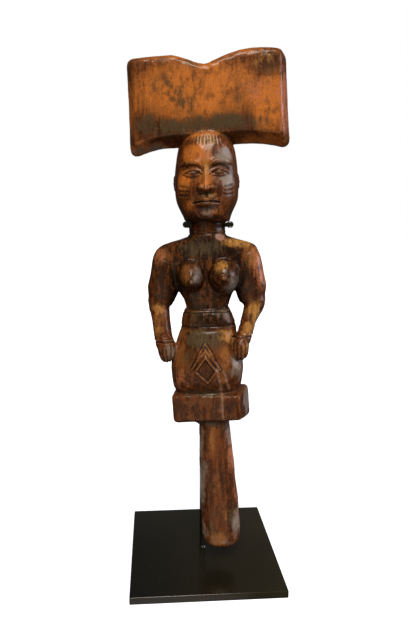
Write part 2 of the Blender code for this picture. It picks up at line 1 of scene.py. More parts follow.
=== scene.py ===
"""The looks of a carved Yoruba Shango dance staff that rests by its neck in a black steel stand.

The staff is one piece of handled hardwood. Its forms repeat the solid's, in millimetres above the
foot of the handle, at a finer scale and with the knife work on them. X runs to the viewer's right,
Y to the back and Z up. Everything is set in the shared frame, whose origin is the centre of the
base plate's underside.
"""

import math

import bmesh
import bpy
import numpy as np
from mathutils import Euler, Matrix, Vector, kdtree, noise


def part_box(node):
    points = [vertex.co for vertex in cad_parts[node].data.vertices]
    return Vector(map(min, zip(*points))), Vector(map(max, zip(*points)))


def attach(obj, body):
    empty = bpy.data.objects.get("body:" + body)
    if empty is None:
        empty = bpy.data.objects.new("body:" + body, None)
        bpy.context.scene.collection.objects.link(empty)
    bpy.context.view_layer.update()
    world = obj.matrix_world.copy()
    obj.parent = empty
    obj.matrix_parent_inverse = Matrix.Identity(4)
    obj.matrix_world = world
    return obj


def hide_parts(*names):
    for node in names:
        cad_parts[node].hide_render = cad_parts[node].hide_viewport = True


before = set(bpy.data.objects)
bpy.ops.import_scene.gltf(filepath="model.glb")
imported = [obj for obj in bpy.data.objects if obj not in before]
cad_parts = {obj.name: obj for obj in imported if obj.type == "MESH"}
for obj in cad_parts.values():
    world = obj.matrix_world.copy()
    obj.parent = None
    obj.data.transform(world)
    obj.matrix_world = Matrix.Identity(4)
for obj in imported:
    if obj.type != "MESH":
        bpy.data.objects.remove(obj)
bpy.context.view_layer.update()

MM = 0.001

# Stand, as in the solids
PLATE_SIDE = 127.0
PLATE_THICK = 6.35
PLATE_ROUND = 0.7
POST_RADIUS = 2.4
CRADLE_RADIUS = 1.75
CRADLE_HEIGHT = 288.9
SLEEVE_BORE = 2.1
SLEEVE_RADIUS = 2.5
SLEEVE_LAP = 0.5
SLEEVE_LIP = 0.35
# How much shorter a sleeve is than its solid's reach from front to back
SLEEVE_SHORT = 0.6
TOUCH_GAP = 0.3
# Weld beads: height above their start, and radius
FOOT_WELD = [(0.0, 3.3), (0.3, 3.2), (0.7, 2.9), (1.2, 2.6), (1.8, 2.42)]
CRADLE_WELD = [(0.0, 2.42), (0.8, 2.7), (1.8, 3.0), (2.8, 2.9), (3.6, 2.4), (4.0, 1.6)]
CRADLE_PLAN = [
    (-15.1, -35.2), (-16.0, -30.0), (-16.6, -24.0), (-16.8, -16.5), (-14.0, -8.4), (-8.0, -3.2),
    (0.4, -1.4), (8.8, -3.2), (15.0, -8.4), (17.9, -16.5), (18.0, -23.5), (17.1, -28.4),
    (16.5, -31.8), (16.6, -35.2),
]

# Where the neck of the staff sits in the cradle, and how the staff hangs there
NECK_AT = (0.7, -21.0, 285.0 + PLATE_THICK)
NECK_LEVEL = 266.2
TURN = -7.0
LEAN = 2.0

# Quality of the finished surface
VOXEL = 0.62
EASE_STEPS = 5
TRIANGLES = 186000
SEED = 11

# Camera: place in metres, turn in degrees, lens in millimetres, and shift
CAMERA_AT = (-0.04279, -0.43369, 0.29420)
CAMERA_TURN = (80.99, 0, -3.62)
CAMERA_LENS = 30.30
CAMERA_SHIFT = (0.0300, -0.0021)
FLOOR_REACH = 8.0

# Each station of a form is: x, y, z, half width, half depth, squareness
HANDLE = [
    (4.9, 0, 0, 8.2, 8, 2.2), (4.9, 0, 1.4, 11.6, 11, 2.4), (4.7, 0, 4.8, 14.4, 13.6, 2.6),
    (4.6, 0, 10.2, 15.8, 14.8, 2.8), (4.5, 0, 19.2, 16.3, 15, 2.8), (4, 0, 37.2, 16, 14.8, 2.8),
    (2.8, 0, 55.2, 15.4, 14.4, 2.8), (2, 0, 82.2, 14.2, 13.4, 2.8),
    (1.1, 0, 107.2, 12.7, 12.3, 2.8), (0.9, 0, 123.2, 12.4, 12.1, 2.8),
]
LAP = [
    (-4, -1, 131.7, 22, 9, 2.6), (-3.8, -1.2, 135.2, 24.2, 11.6, 2.6),
    (-3.6, -1.8, 141.2, 27.2, 15.6, 2.6), (-3.4, -2.6, 149.2, 28.4, 18.6, 2.6),
    (-3.3, -3, 158.2, 29, 20, 2.5), (-3.3, -2.8, 167.2, 27.8, 19.6, 2.4),
    (-3, -2.2, 175.2, 25.6, 18.4, 2.3), (-2.4, -1.6, 181.8, 23.8, 17.2, 2.3),
    (-1.9, -1.1, 186.6, 22.4, 16, 2.3), (-1.5, -0.8, 189.2, 20.8, 14, 2.3),
    (-1.2, -0.5, 190.8, 18, 10, 2.3),
]
WAISTBAND = [
    (-1.4, 0.2, 179.2, 22, 12, 2.6), (-1.4, 0.2, 185.2, 22.4, 13.2, 2.6),
    (-1.4, 0.2, 190.7, 21.9, 13.6, 2.6), (-1.9, 0.2, 197.2, 20.4, 13, 2.6),
    (-2.3, 0.2, 202.4, 18.6, 12.2, 2.6), (-2.3, 0.2, 203.8, 17.8, 11.6, 2.6),
]
TRUNK = [
    (-1.9, 0.3, 198.2, 16.6, 10, 2.4), (-1.9, 0.3, 205.2, 16.9, 10.2, 2.4),
    (-1.9, 0.3, 211.2, 18.4, 10.6, 2.5), (-2.1, 0.5, 216.7, 21.2, 10.8, 2.7),
    (-1.9, 0.8, 225.2, 26.8, 11, 3), (-1.6, 1, 235.2, 31.5, 11, 3.2),
    (-1.4, 1, 243.2, 36.5, 10.9, 3.2), (-1.2, 0.8, 249.2, 40.4, 10.8, 2.9),
    (-1.4, 0.6, 253.6, 38.2, 11, 2.6), (-1.6, 0.5, 257.2, 28.4, 12, 2.3),
    (-0.9, 0.4, 260.2, 18, 12.8, 2.1), (-0.5, 0.4, 262.6, 12.6, 12.2, 2),
]
SHOULDERS = [
    (-1.6, 0.8, 232.6, 31, 7.4, 4), (-1.6, 0.8, 236.2, 35.4, 9.4, 4.2),
    (-1.5, 0.8, 241.2, 37.6, 10.2, 4.4), (-1.4, 0.8, 246.2, 39, 10.4, 4.2),
    (-1.3, 0.8, 250.4, 38.8, 9.8, 3.6), (-1.4, 0.7, 253.4, 36, 8.8, 3),
]
NECK = [
    (-0.5, 0.6, 247.2, 10, 7, 2), (-0.5, 0.4, 255.2, 14, 10.6, 2), (-0.6, 0.4, 259.2, 15, 12.8, 2),
    (-0.5, 0.4, 262.4, 14.8, 13.4, 2), (-0.4, 0.4, 263.8, 14.2, 12.8, 2),
    (-0.3, 0.4, 269.2, 14.2, 13, 2), (-0.1, 0.4, 275.2, 14.6, 13.6, 2),
    (-0.1, 0.4, 281.2, 15.2, 14, 2),
]
HEAD = [
    (0, -1, 272.6, 16.4, 16, 2.1), (0, -1.2, 273.4, 17.6, 17.8, 2.1),
    (0, -1.4, 276.2, 18.4, 19.6, 2.1), (0.1, -1.4, 281.2, 20.6, 21.4, 2.2),
    (0.2, -1.2, 288.2, 23.6, 22.8, 2.3), (0.2, -0.8, 297.2, 24.5, 22.8, 2.3),
    (0.3, -0.4, 307.2, 24.3, 22.6, 2.3), (0.5, -0.4, 316.2, 23.4, 22, 2.3),
    (0.7, -0.6, 325.2, 21.8, 20.2, 2.2), (0.9, -1, 332, 19.2, 17.7, 2.1),
    (1.1, -1.4, 336.6, 15, 15, 2), (1.2, -1.6, 338.6, 8.4, 10.4, 2),
]
ARM_LEFT = [
    (-31.5, 1, 249.8, 5, 6.5, 2.2), (-34.2, 0.8, 246.2, 8.8, 9.2, 2.4),
    (-35, 0.6, 241.2, 9.8, 10.2, 2.5), (-36, 0.8, 233.2, 10.4, 10.8, 2.5),
    (-36.7, 1.4, 222.2, 12.4, 10.8, 2.5), (-38.5, 1.8, 213.8, 10.9, 10.2, 2.4),
    (-40.5, 0.8, 207.6, 9.1, 9.4, 2.4), (-40, -1.4, 201.2, 7.7, 8.6, 2.4),
    (-39, -3.8, 194.2, 7.1, 7.8, 2.3), (-37.9, -6.2, 186.2, 7.1, 7.2, 2.2),
    (-36.6, -8.2, 178.7, 7.1, 6.8, 2.2), (-36, -8.8, 175.7, 6.4, 6.2, 2.2),
]
ARM_RIGHT = [
    (29.2, 1, 249, 5, 6.5, 2.2), (31.4, 0.8, 245.4, 8.6, 9.2, 2.4),
    (32.2, 0.6, 241.2, 9.6, 10.2, 2.5), (32.9, 0.8, 233.2, 10.4, 10.8, 2.5),
    (32.7, 1.4, 222.2, 12.5, 10.8, 2.5), (33.7, 1.8, 213.8, 11.1, 10.2, 2.4),
    (35.3, 0.8, 207.2, 9.2, 9.4, 2.4), (33.7, -1.4, 201.2, 7.3, 8.4, 2.4),
    (30.8, -4.2, 194.2, 6.1, 7.4, 2.3), (28, -7, 186.2, 6, 6.8, 2.2),
    (25.6, -9.2, 179.7, 6.1, 6.6, 2.2), (25, -10, 176.7, 5.6, 6, 2.2),
]
FIST_LEFT = [
    (-35.4, -8.8, 180.6, 4.6, 5, 2.2), (-35, -9.4, 178.4, 6.6, 7.2, 2.4),
    (-34.6, -10, 173.2, 7.2, 8.2, 2.6), (-33.8, -10.2, 167.8, 6.4, 7.8, 2.6),
    (-32.4, -10, 164, 3.8, 5.2, 2.2),
]
FIST_RIGHT = [
    (24.8, -10.8, 182.2, 4.2, 5, 2.2), (24.4, -11.4, 180, 5.8, 7, 2.4),
    (23.9, -12.2, 174.4, 6.3, 8.2, 2.6), (23, -12.6, 169, 5.8, 7.8, 2.6),
    (21.8, -12.4, 165, 3.4, 5, 2.2),
]
# Each station of a breast runs out from the chest to its point
BREAST_LEFT = [
    (-13.2, -5, 230.4, 10.4, 13.8, 2), (-13.3, -10, 230.4, 10.3, 12.8, 2),
    (-13.3, -14.8, 229.9, 9, 10.6, 2), (-13.2, -18.6, 228.8, 6.7, 7.6, 2),
    (-13.1, -21, 227.8, 4.2, 4.7, 2), (-13, -22.5, 226.9, 2.1, 2.3, 2),
    (-13, -24.2, 226.4, 1.4, 1.4, 2),
]
BREAST_RIGHT = [
    (12, -5, 229.8, 12.2, 14.4, 2), (12, -10, 230.2, 12, 13.6, 2),
    (12, -15.2, 230.4, 10.6, 11.2, 2), (11.9, -19.3, 230.2, 8.1, 8.4, 2),
    (11.8, -22, 229.9, 5.1, 5.4, 2), (11.7, -23.5, 229.7, 2.4, 2.6, 2),
    (11.7, -25.3, 229.6, 1.4, 1.4, 2),
]

# Slab under the figure
SLAB_SIZE = (55.2, 33.8, 23.4)
SLAB_AT = (-3.1, 0.1, 124.6)
SLAB_TURN = -6.0
SLAB_ROLL = -2.3
SLAB_ROUND = 3.0
SLAB_SPREADS = (0.0012, 0.0056)
SLAB_TAPER = 0.0022
SLAB_DROP = 0.022
SLAB_DROP_FROM = 11.0

# Double axe
AXE_AT = (2.6, 1.5, 361.2)
AXE_HALF_LENGTH = 59.5
AXE_ROLL = -0.95
AXE_TOP = 34.2
AXE_BOTTOM = -31.2
AXE_NOTCH = 8.0
AXE_NOTCH_AT = 0.4
AXE_NOTCH_REACH = (27.0, 40.0)
AXE_ARCH = 1.4
AXE_FLARES = (5.0, 4.5)
AXE_FLARE_FROM = 30.0
AXE_HALF_THICK = (15.6, 12.0, 3.4)
AXE_BEVEL = 7.0
AXE_END_BEVEL = 5.0
AXE_CORNER = 4.6
AXE_TOP_CORNERS = (3.0, 8.0)
AXE_SPREAD = 0.06
AXE_SPREAD_BELOW = 0.45

# Face: a calm one on even thirds, with lidded almond eyes, a wedge of a nose and full lips
FACE_MIDDLE = 0.2
JAW_LEVEL = 279.0
JAW_BLEND = 4.0
EYE_LEVEL = 307.8
EYE_APART = 19.6
EYE_HALF = (5.5, 3.7, 2.9)
EYE_FRONT = -18.6
LID_HALF_WIDTH = 7.0
LID_RISE = 3.1
LID_DROP = 2.3
BROW_RISE = 8.4
BROW_HALF_WIDTH = 9.5
EAR_APART = 48.0
EAR_AT = (1.0, 302.2)
EAR_HALF = (1.9, 3.4, 6.4)
NOSE_ROOT = 312.2
NOSE_BASE = 294.6
NOSE_HALF_WIDTH = (2.2, 5.6)
NOSE_AXIS = -17.4
NOSE_DEPTH = (7.0, 13.2)
WING_AT = (3.9, -25.0, 296.8)
WING_HALF = (2.9, 4.6, 2.5)
NOSTRIL_AT = (2.9, -27.6, 294.3)
MOUTH_LEVEL = 286.8
MOUTH_WIDTH = 19.0
MOUTH_FRONT = -24.6
MOUTH_BOW = 0.034
LIPS = ((1.5, 1.6, 1.9), (-1.7, 1.8, 2.1))
# Presses in the front of the head: across, up, half width, half height, depth (below 0 is out)
EYE_PRESSES = (
    (0.0, 0.6, 9.0, 6.0, 2.6),
    (1.0, 7.6, 9.5, 2.4, -1.3),
    (3.0, -12.6, 7.0, 6.0, -0.9),
)
MOUTH_PRESSES = (
    (-8.6, 0.0, 3.0, 4.0, 0.8),
    (8.6, 0.0, 3.0, 4.0, 0.8),
    (0.0, 0.0, 9.0, 7.0, -1.6),
    (0.0, -5.6, 6.0, 2.0, 0.9),
    (0.0, -9.6, 7.0, 3.4, -1.4),
)
# Cheek marks, from their inner to their outer ends, on both cheeks
CHEEK_MARKS = (
    ((13.4, 297.6), (16.6, 298.0), (20.0, 299.0)),
    ((13.2, 294.6), (16.6, 294.8), (20.4, 295.6)),
    ((12.8, 291.6), (16.4, 291.6), (20.2, 292.2)),
)
CHEEK_GROOVE = (1.4, 0.5)

# Hair: strokes cut up the skull from a hairline that drops to the sides and the nape
HAIR_STROKES = 46
HAIR_GROOVE = (1.3, 0.4)
HAIRLINE_FRONT = 327.5
HAIRLINE_BACK = 292.0
CROWN_LEVEL = 336.4

# Neck: the ring cut round it and the scratch above it (level, width, depth), and the chip on its
# right (place, radius, depth)
NECK_GROOVES = ((263.3, 1.4, 0.45), (271.2, 0.9, 0.25))
NECK_CHIP = ((9.8, -9.0, 260.6), 4.6, 1.1)

# Lozenge on the lap: centre, half width, reach up and down, depth of its floor, border
LOZENGE_AT = (-4.0, 157.2)
LOZENGE_HALF_WIDTH = 8.0
LOZENGE_UP = 11.0
LOZENGE_DOWN = 9.8
LOZENGE_LEAN = 1.3
LOZENGE_FLOOR = 1.1
LOZENGE_BORDER = (1.5, 0.7)
# The ridges of the chevrons over it: half width, foot and apex above its centre
CHEVRONS = ((11.2, 1.4, 21.4), (9.6, 3.4, 16.8))
CHEVRON_RIDGE = (1.2, 0.35)
CHEVRON_GROOVE = (1.5, 0.45)

# Arms: the edge where the upper arm ends, the wrist lines, the fingers and the thumbs
ELBOW_LEVELS = (210.2, 208.6)
ELBOW_STEP = 0.3
WRIST_LEVELS = (179.8, 182.6)
WRIST_GROOVE = (1.4, 0.6)
FINGER_GROOVE = (1.6, 0.6)
FINGER_APART = (3.3, 2.7)
THUMB = ((3.2, 4.5), (4.4, 0.0), (3.6, -5.0))
THUMB_GROOVE = (1.5, 0.8)

# Waistband: the lines under its top rim and at its foot
BAND_RIM = 201.6
BAND_GROOVE = (1.1, 0.35)
BAND_FOOT = 191.2
FOOT_GROOVE = (2.8, 0.4)

# The drying crack from the lap down the slab, and its branch
CRACKS = (
    ((5.4, 160.5), (5.1, 156.5), (7.8, 143.6), (8.4, 133.8), (8.2, 126.0), (8.9, 114.0)),
    ((9.6, 157.0), (11.2, 154.0), (12.4, 147.5), (14.0, 141.9)),
)
CRACK_GROOVE = (0.9, 0.6)

# Flats cut along the handle: direction, and their distance as a share of its half width
HANDLE_FLATS = (
    (-90, 0.955), (-42, 1.035), (0, 0.97), (45, 1.05), (90, 0.96), (135, 1.045), (180, 0.97),
    (222, 1.035),
)
HANDLE_TOP = 112.0
KNIFE_FLATS = 2600
KNIFE_DEPTH = 0.42
DENTS = 150


def section(half_width, half_depth, squareness, sides):
    """One closed cross-section: an ellipse at squareness 2, and boxier above it."""
    angle = np.arange(sides) * 2 * math.pi / sides
    across = np.abs(np.cos(angle) / half_width) ** squareness
    along = np.abs(np.sin(angle) / half_depth) ** squareness
    radius = (across + along) ** (-1 / squareness)
    return np.stack([np.cos(angle) * radius, np.sin(angle) * radius], axis=1)


def between(stations, steps):
    """Rows on the smooth curve through the stations, with so many steps from each to the next."""
    table = np.array(stations, float)
    slopes = np.gradient(table, axis=0)
    spot = np.linspace(0, len(table) - 1, (len(table) - 1) * steps + 1)
    index = np.minimum(spot.astype(int), len(table) - 2)
    t = (spot - index)[:, None]
    start, end = table[index], table[index + 1]
    rise = (3 - 2 * t) * t * t
    return (
        start + (end - start) * rise
        + slopes[index] * (t * (1 - t) ** 2)
        - slopes[index + 1] * (t * t * (1 - t))
    )


def closed_form(rings, loop=False):
    """Vertices and faces of a skin over equal rings: flat ends, or a loop back to the first ring."""
    rings = np.asarray(rings)
    rows, sides = rings.shape[:2]
    total = rows * sides
    faces = []
    for row in range(rows if loop else rows - 1):
        for side in range(sides):
            near = row * sides + side
            far = row * sides + (side + 1) % sides
            faces.append((near, far, (far + sides) % total, (near + sides) % total))
    if not loop:
        faces.append(tuple(reversed(range(sides))))
        faces.append(tuple(range(total - sides, total)))
    return rings.reshape(-1, 3), faces


def level_form(stations, sides=40, steps=6):
    """A form whose cross-sections all lie level, such as the trunk."""
    rings = []
    for x, y, z, half_width, half_depth, squareness in between(stations, steps):
        flat = section(half_width, half_depth, squareness, sides)
        rings.append(np.column_stack([x + flat[:, 0], y + flat[:, 1], np.full(sides, z)]))
    return closed_form(rings)


def limb_form(stations, sides=28, steps=6):
    """A form whose cross-sections stand square to its own run, such as an arm."""
    rows = between(stations, steps)
    runs = np.gradient(rows[:, :3], axis=0)
    rings = []
    for row, run in zip(rows, runs):
        run = Vector(run).normalized()
        depth = run.cross(Vector((1, 0, 0))).normalized()
        width = depth.cross(run)
        flat = section(row[3], row[4], row[5], sides)
        rings.append(row[:3] + flat[:, :1] * np.array(width) + flat[:, 1:] * np.array(depth))
    return closed_form(rings)


def slab_form():
    """The slab: a box with worn edges, deeper at its left end and spreading to the back."""
    solid = bmesh.new()
    bmesh.ops.create_cube(solid, size=1.0)
    bmesh.ops.scale(solid, vec=SLAB_SIZE, verts=solid.verts)
    bmesh.ops.bevel(
        solid, geom=solid.edges[:], offset=SLAB_ROUND, segments=3, profile=0.5, affect="EDGES"
    )
    for vert in solid.verts:
        vert.co.z *= 1 - SLAB_TAPER * vert.co.x
        if vert.co.z < 0:
            vert.co.z *= 1 + SLAB_DROP * (vert.co.y + SLAB_DROP_FROM)
        behind_front = vert.co.y + SLAB_SIZE[1] / 2
        vert.co.x *= 1 + SLAB_SPREADS[vert.co.x > 0] * behind_front
    turn = Matrix.Rotation(math.radians(SLAB_TURN), 4, "Z")
    roll = Matrix.Rotation(math.radians(SLAB_ROLL), 4, "Y")
    solid.transform(Matrix.Translation(SLAB_AT) @ turn @ roll)
    verts = np.array([v.co for v in solid.verts])
    faces = [[v.index for v in face.verts] for face in solid.faces]
    solid.free()
    return verts, faces


def corner_drop(distance, radius):
    """How far an outline falls back within a round corner, at a distance from the corner's end."""
    inside = np.clip(radius - distance, 0, radius)
    return radius - np.sqrt(radius**2 - inside**2)


def notch_share(x):
    """How much of the notch is left at a place along the axe: steep on its left, long on its right."""
    away = x - AXE_NOTCH_AT
    left, right = AXE_NOTCH_REACH
    if away < 0:
        share = min(1.0, -away / left)
        return 1 - share * share * (3 - 2 * share)
    return (1 - min(1.0, away / right)) ** 2


def axe_outline(x):
    """Top and bottom of the axe at a distance from its middle."""
    end = AXE_HALF_LENGTH - abs(x)
    arch = AXE_ARCH * math.sin(math.pi * max(0.0, x) / AXE_HALF_LENGTH) ** 2
    share = max(0.0, abs(x) - AXE_FLARE_FROM) / (AXE_HALF_LENGTH - AXE_FLARE_FROM)
    flare = AXE_FLARES[0 if x < 0 else 1] * min(1.0, share * 1.2) ** 1.8
    top_corner = corner_drop(end, AXE_TOP_CORNERS[0] if x < 0 else AXE_TOP_CORNERS[1])
    top = AXE_TOP + arch - AXE_NOTCH * notch_share(x) - top_corner
    return top, AXE_BOTTOM - flare + corner_drop(end, AXE_CORNER)


def axe_form(columns=96, rows=30):
    """The double axe: a thick cushion, notched above, flared to both blades and bevelled."""
    middle, crease, rim = AXE_HALF_THICK
    rings = []
    for spot in np.linspace(-1, 1, columns):
        x = math.sin(spot * math.pi / 2) * AXE_HALF_LENGTH
        top, bottom = axe_outline(x)
        body = crease + (middle - crease) * (1 - (abs(x) / AXE_HALF_LENGTH) ** 1.6)
        edge = min(1.0, (AXE_HALF_LENGTH - abs(x)) / AXE_END_BEVEL)
        body = rim + (body - rim) * edge
        climb = (1 - np.cos(np.linspace(0, math.pi, rows))) / 2
        height = bottom + (top - bottom) * climb
        low = np.clip((height - bottom) / AXE_BEVEL, 0, 1)
        high = np.clip((top - height) / AXE_END_BEVEL, 0, 1)
        swell = 1 + 0.05 * np.sin(math.pi * climb)
        thick = (rim + (body - rim) * low) * np.sqrt(1 - (1 - high) ** 2 * 0.9) * swell
        spread = x * (1 + AXE_SPREAD * np.clip(AXE_SPREAD_BELOW - climb, 0, 1))
        front = np.column_stack([spread, -thick, height])
        back = np.column_stack([spread, thick, height])[::-1]
        rings.append(np.vstack([front, back]))
    verts, faces = closed_form(rings)
    roll = Matrix.Rotation(math.radians(AXE_ROLL), 3, "Y")
    return verts @ np.array(roll).T + np.array(AXE_AT), faces


def nose_form(rows=16, sides=32):
    """The nose: a wedge that widens and stands out towards its base."""
    rings = []
    for share in np.linspace(0, 1, rows):
        z = NOSE_ROOT + (NOSE_BASE - NOSE_ROOT) * share
        half = NOSE_HALF_WIDTH[0] + (NOSE_HALF_WIDTH[1] - NOSE_HALF_WIDTH[0]) * share**1.6
        deep = NOSE_DEPTH[0] + (NOSE_DEPTH[1] - NOSE_DEPTH[0]) * share**1.1
        x, y = section(half, deep, 2.0, sides).T
        rings.append(np.column_stack([FACE_MIDDLE + x, NOSE_AXIS + y, np.full(sides, z)]))
    return closed_form(rings[::-1])


def bead(at, half):
    """A small rounded form, such as an eyeball or an ear."""
    stations = []
    for angle in np.linspace(-0.46, 0.46, 9) * math.pi:
        ring = math.cos(angle)
        level = at[2] + half[2] * math.sin(angle)
        stations.append((at[0], at[1], level, half[0] * ring, half[1] * ring, 2.0))
    return level_form(stations, sides=28, steps=3)


def lip_form(above, half_height, proud, sides=20):
    """One lip: a bow that follows the front of the jaw and thins to its corners."""
    stations = []
    for share in np.linspace(-1, 1, 9):
        x = share * MOUTH_WIDTH / 2
        size = max(0.12, 1 - abs(share) ** 2.2)
        level = MOUTH_LEVEL + above - 0.5 * abs(share)
        stations.append((
            FACE_MIDDLE + x, MOUTH_FRONT + MOUTH_BOW * x * x, level,
            proud * size + 0.4, half_height * size + 0.2,
        ))
    rings = []
    for x, y, z, out, high in between(stations, 4):
        flat = section(out, high, 2.0, sides)
        rings.append(np.column_stack([np.full(sides, x), y - flat[:, 0], z + flat[:, 1]]))
    return closed_form(rings[::-1])


def press(points, middle, level, shape):
    """Press a smooth dish into the front of the head, or a swelling where its depth is below 0."""
    across, up, half_width, half_height, depth = shape
    reach = ((points[:, 0] - middle - across) / half_width) ** 2
    reach += ((points[:, 2] - level - up) / half_height) ** 2
    front = points[:, 1] < -6
    points[:, 1] += np.where(front, depth * np.exp(-1.6 * reach), 0.0)


def head_form():
    """The head: an egg with eye sockets, brows, cheeks and chin worked into its front."""
    points, faces = level_form(HEAD, sides=120, steps=12)
    low = np.clip((JAW_LEVEL - points[:, 2]) / JAW_BLEND, 0, 1)
    points[:, 2] -= low * points[:, 0] * math.tan(math.radians(LEAN))
    for side in (-1, 1):
        middle = FACE_MIDDLE + side * EYE_APART / 2
        for across, *shape in EYE_PRESSES:
            press(points, middle, EYE_LEVEL, (side * across, *shape))
    for shape in MOUTH_PRESSES:
        press(points, FACE_MIDDLE, MOUTH_LEVEL, shape)
    return points, faces


def staff_forms():
    """Every overlapping form of the carving."""
    forms = [level_form(table, 72, 10) for table in (HANDLE, LAP, WAISTBAND, TRUNK, SHOULDERS, NECK)]
    forms += [limb_form(table, 48, 10) for table in (ARM_LEFT, ARM_RIGHT, FIST_LEFT, FIST_RIGHT)]
    forms += [limb_form(table, 56, 10) for table in (BREAST_LEFT, BREAST_RIGHT)]
    forms += [slab_form(), axe_form(160, 60), head_form(), nose_form()]
    for side in (-1, 1):
        forms.append(bead((FACE_MIDDLE + side * EYE_APART / 2, EYE_FRONT, EYE_LEVEL), EYE_HALF))
        forms.append(bead((FACE_MIDDLE + side * EAR_APART / 2, *EAR_AT), EAR_HALF))
        wing = (FACE_MIDDLE + side * WING_AT[0], *WING_AT[1:])
        forms.append(bead(wing, WING_HALF))
    forms += [lip_form(*lip) for lip in LIPS]
    return forms


def joined_mesh(name, forms):
    """One mesh that holds all the forms, each still its own closed skin."""
    solid = bmesh.new()
    for verts, faces in forms:
        made = [solid.verts.new(v * MM) for v in np.asarray(verts)]
        for face in faces:
            solid.faces.new([made[i] for i in face])
    bmesh.ops.recalc_face_normals(solid, faces=solid.faces)
    mesh = bpy.data.meshes.new(name)
    solid.to_mesh(mesh)
    solid.free()
    return mesh


def applied(obj):
    """The mesh of an object with its modifiers worked in; the object goes."""
    graph = bpy.context.evaluated_depsgraph_get()
    mesh = bpy.data.meshes.new_from_object(obj.evaluated_get(graph))
    bpy.data.objects.remove(obj)
    return mesh


def new_object(name, data):
    """A new object in the scene."""
    made = bpy.data.objects.new(name, data)
    bpy.context.scene.collection.objects.link(made)
    return made


class Surface:
    """The dense skin of the carving: its points and normals in millimetres, and marks on it."""

    def __init__(self, mesh):
        self.mesh = mesh
        self.points = self.read("co") / MM
        self.normals = self.read("normal")
        edges = np.empty(len(mesh.edges) * 2, int)
        mesh.edges.foreach_get("vertices", edges)
        self.edges = edges.reshape(-1, 2)
        self.grime_and_shade = np.zeros(len(self.points))
        self.pale = np.zeros(len(self.points))

    def read(self, what):
        found = np.empty(len(self.mesh.vertices) * 3)
        self.mesh.vertices.foreach_get(what, found)
        return found.reshape(-1, 3)

    def renew(self):
        """Put the points into the mesh and work the normals out again."""
        self.mesh.vertices.foreach_set("co", (self.points * MM).ravel())
        self.mesh.update()
        self.normals = self.read("normal")

    def push(self, depth):
        """Move every point in by its own depth."""
        self.points -= self.normals * depth[:, None]

    def groove(self, distance, width, depth, where=1.0, grime_and_shade=1.0):
        """Cut a rounded groove, or raise a ridge where depth is below 0. A cut groove is marked darker:
        partly grime, partly painted shade.
        """
        share = np.clip(1 - (2 * distance / width) ** 2, 0, 1) * where
        self.push(depth * share)
        if depth > 0:
            self.grime_and_shade = np.maximum(self.grime_and_shade, share * grime_and_shade)

    def round_off(self, values, times):
        """Spread values to their neighbours so many times."""
        start, end = self.edges.T
        count = np.bincount(start, minlength=len(values)) + np.bincount(end, minlength=len(values))
        for _ in range(times):
            near = np.bincount(start, values[end], len(values))
            near += np.bincount(end, values[start], len(values))
            values = 0.5 * values + 0.5 * near / np.maximum(count, 1)
        return values

    def ease(self, where, times):
        """Wear the skin soft, more times over where the mask is strong."""
        for axis in range(3):
            even = self.round_off(self.points[:, axis], times)
            self.points[:, axis] += where * (even - self.points[:, axis])
        self.renew()

    def proud(self, times):
        """How far each point stands out of the skin around it, in millimetres."""
        even = np.stack([self.round_off(self.points[:, axis], times) for axis in range(3)], axis=1)
        return np.sum((self.points - even) * self.normals, axis=1)


def line_distance(points, line):
    """How far each point is, seen from the front, from a bent line of (x, z) places."""
    flat = points[:, [0, 2]]
    nearest = np.full(len(points), np.inf)
    for start, end in zip(line, line[1:]):
        start = np.array(start)
        run = np.array(end) - start
        share = np.clip((flat - start) @ run / (run @ run), 0, 1)
        away = np.linalg.norm(flat - start - share[:, None] * run, axis=1)
        nearest = np.minimum(nearest, away)
    return nearest


def smooth_step(values, low, high):
    """From 0 at low to 1 at high, eased at both ends."""
    share = np.clip((values - low) / (high - low), 0, 1)
    return share * share * (3 - 2 * share)


def noise_at(points, size, offset=0.0):
    """Smooth noise from -1 to 1 whose lumps are about so many millimetres across."""
    shift = Vector((offset, offset * 0.7, -offset))
    return np.array([noise.noise(Vector(p) / size + shift) for p in points])


def nearest_of(sources, points):
    """For each point, the number of the nearest source and how far away it is."""
    tree = kdtree.KDTree(len(sources))
    for number, place in enumerate(sources):
        tree.insert(place, number)
    tree.balance()
    found = [tree.find(q)[1:] for q in points]
    return np.array([f[0] for f in found]), np.array([f[1] for f in found])


def soften(skin):
    """Wear the joins of the forms soft: shoulders, breasts, elbows, the axe's arrises, the slab."""
    x, y, z = skin.points.T
    across, level = np.abs(x + 1.4), z
    shoulder = smooth_step(across, 19, 25) * smooth_step(level, 226, 232)
    skin.ease(shoulder * smooth_step(-level, -262, -256), 60)
    breast = smooth_step(-across, -27, -22) * (y < -4)
    breast = breast * smooth_step(level, 211, 216) * smooth_step(-level, -249, -244)
    skin.ease(breast * smooth_step(y, -20, -17), 18)
    under = breast * smooth_step(-level, -226, -219) * smooth_step(y, -21, -18)
    skin.ease(under, 60)
    elbow = (across > 24) * smooth_step(-np.abs(level - ELBOW_LEVELS[0]), -6, -3)
    skin.ease(elbow, 12)
    clear_of_head = np.hypot(x, y) > 23
    axe = smooth_step(level, 318, 322) * np.maximum(clear_of_head, level > 342)
    skin.ease(axe, 30)
    slab = smooth_step(level, 110, 112) * smooth_step(-level, -137, -135)
    skin.ease(slab * (np.abs(x) > 12), 10)
    face = (level > 274) * (level < 322) * (y < -12)
    skin.ease(face, 5)


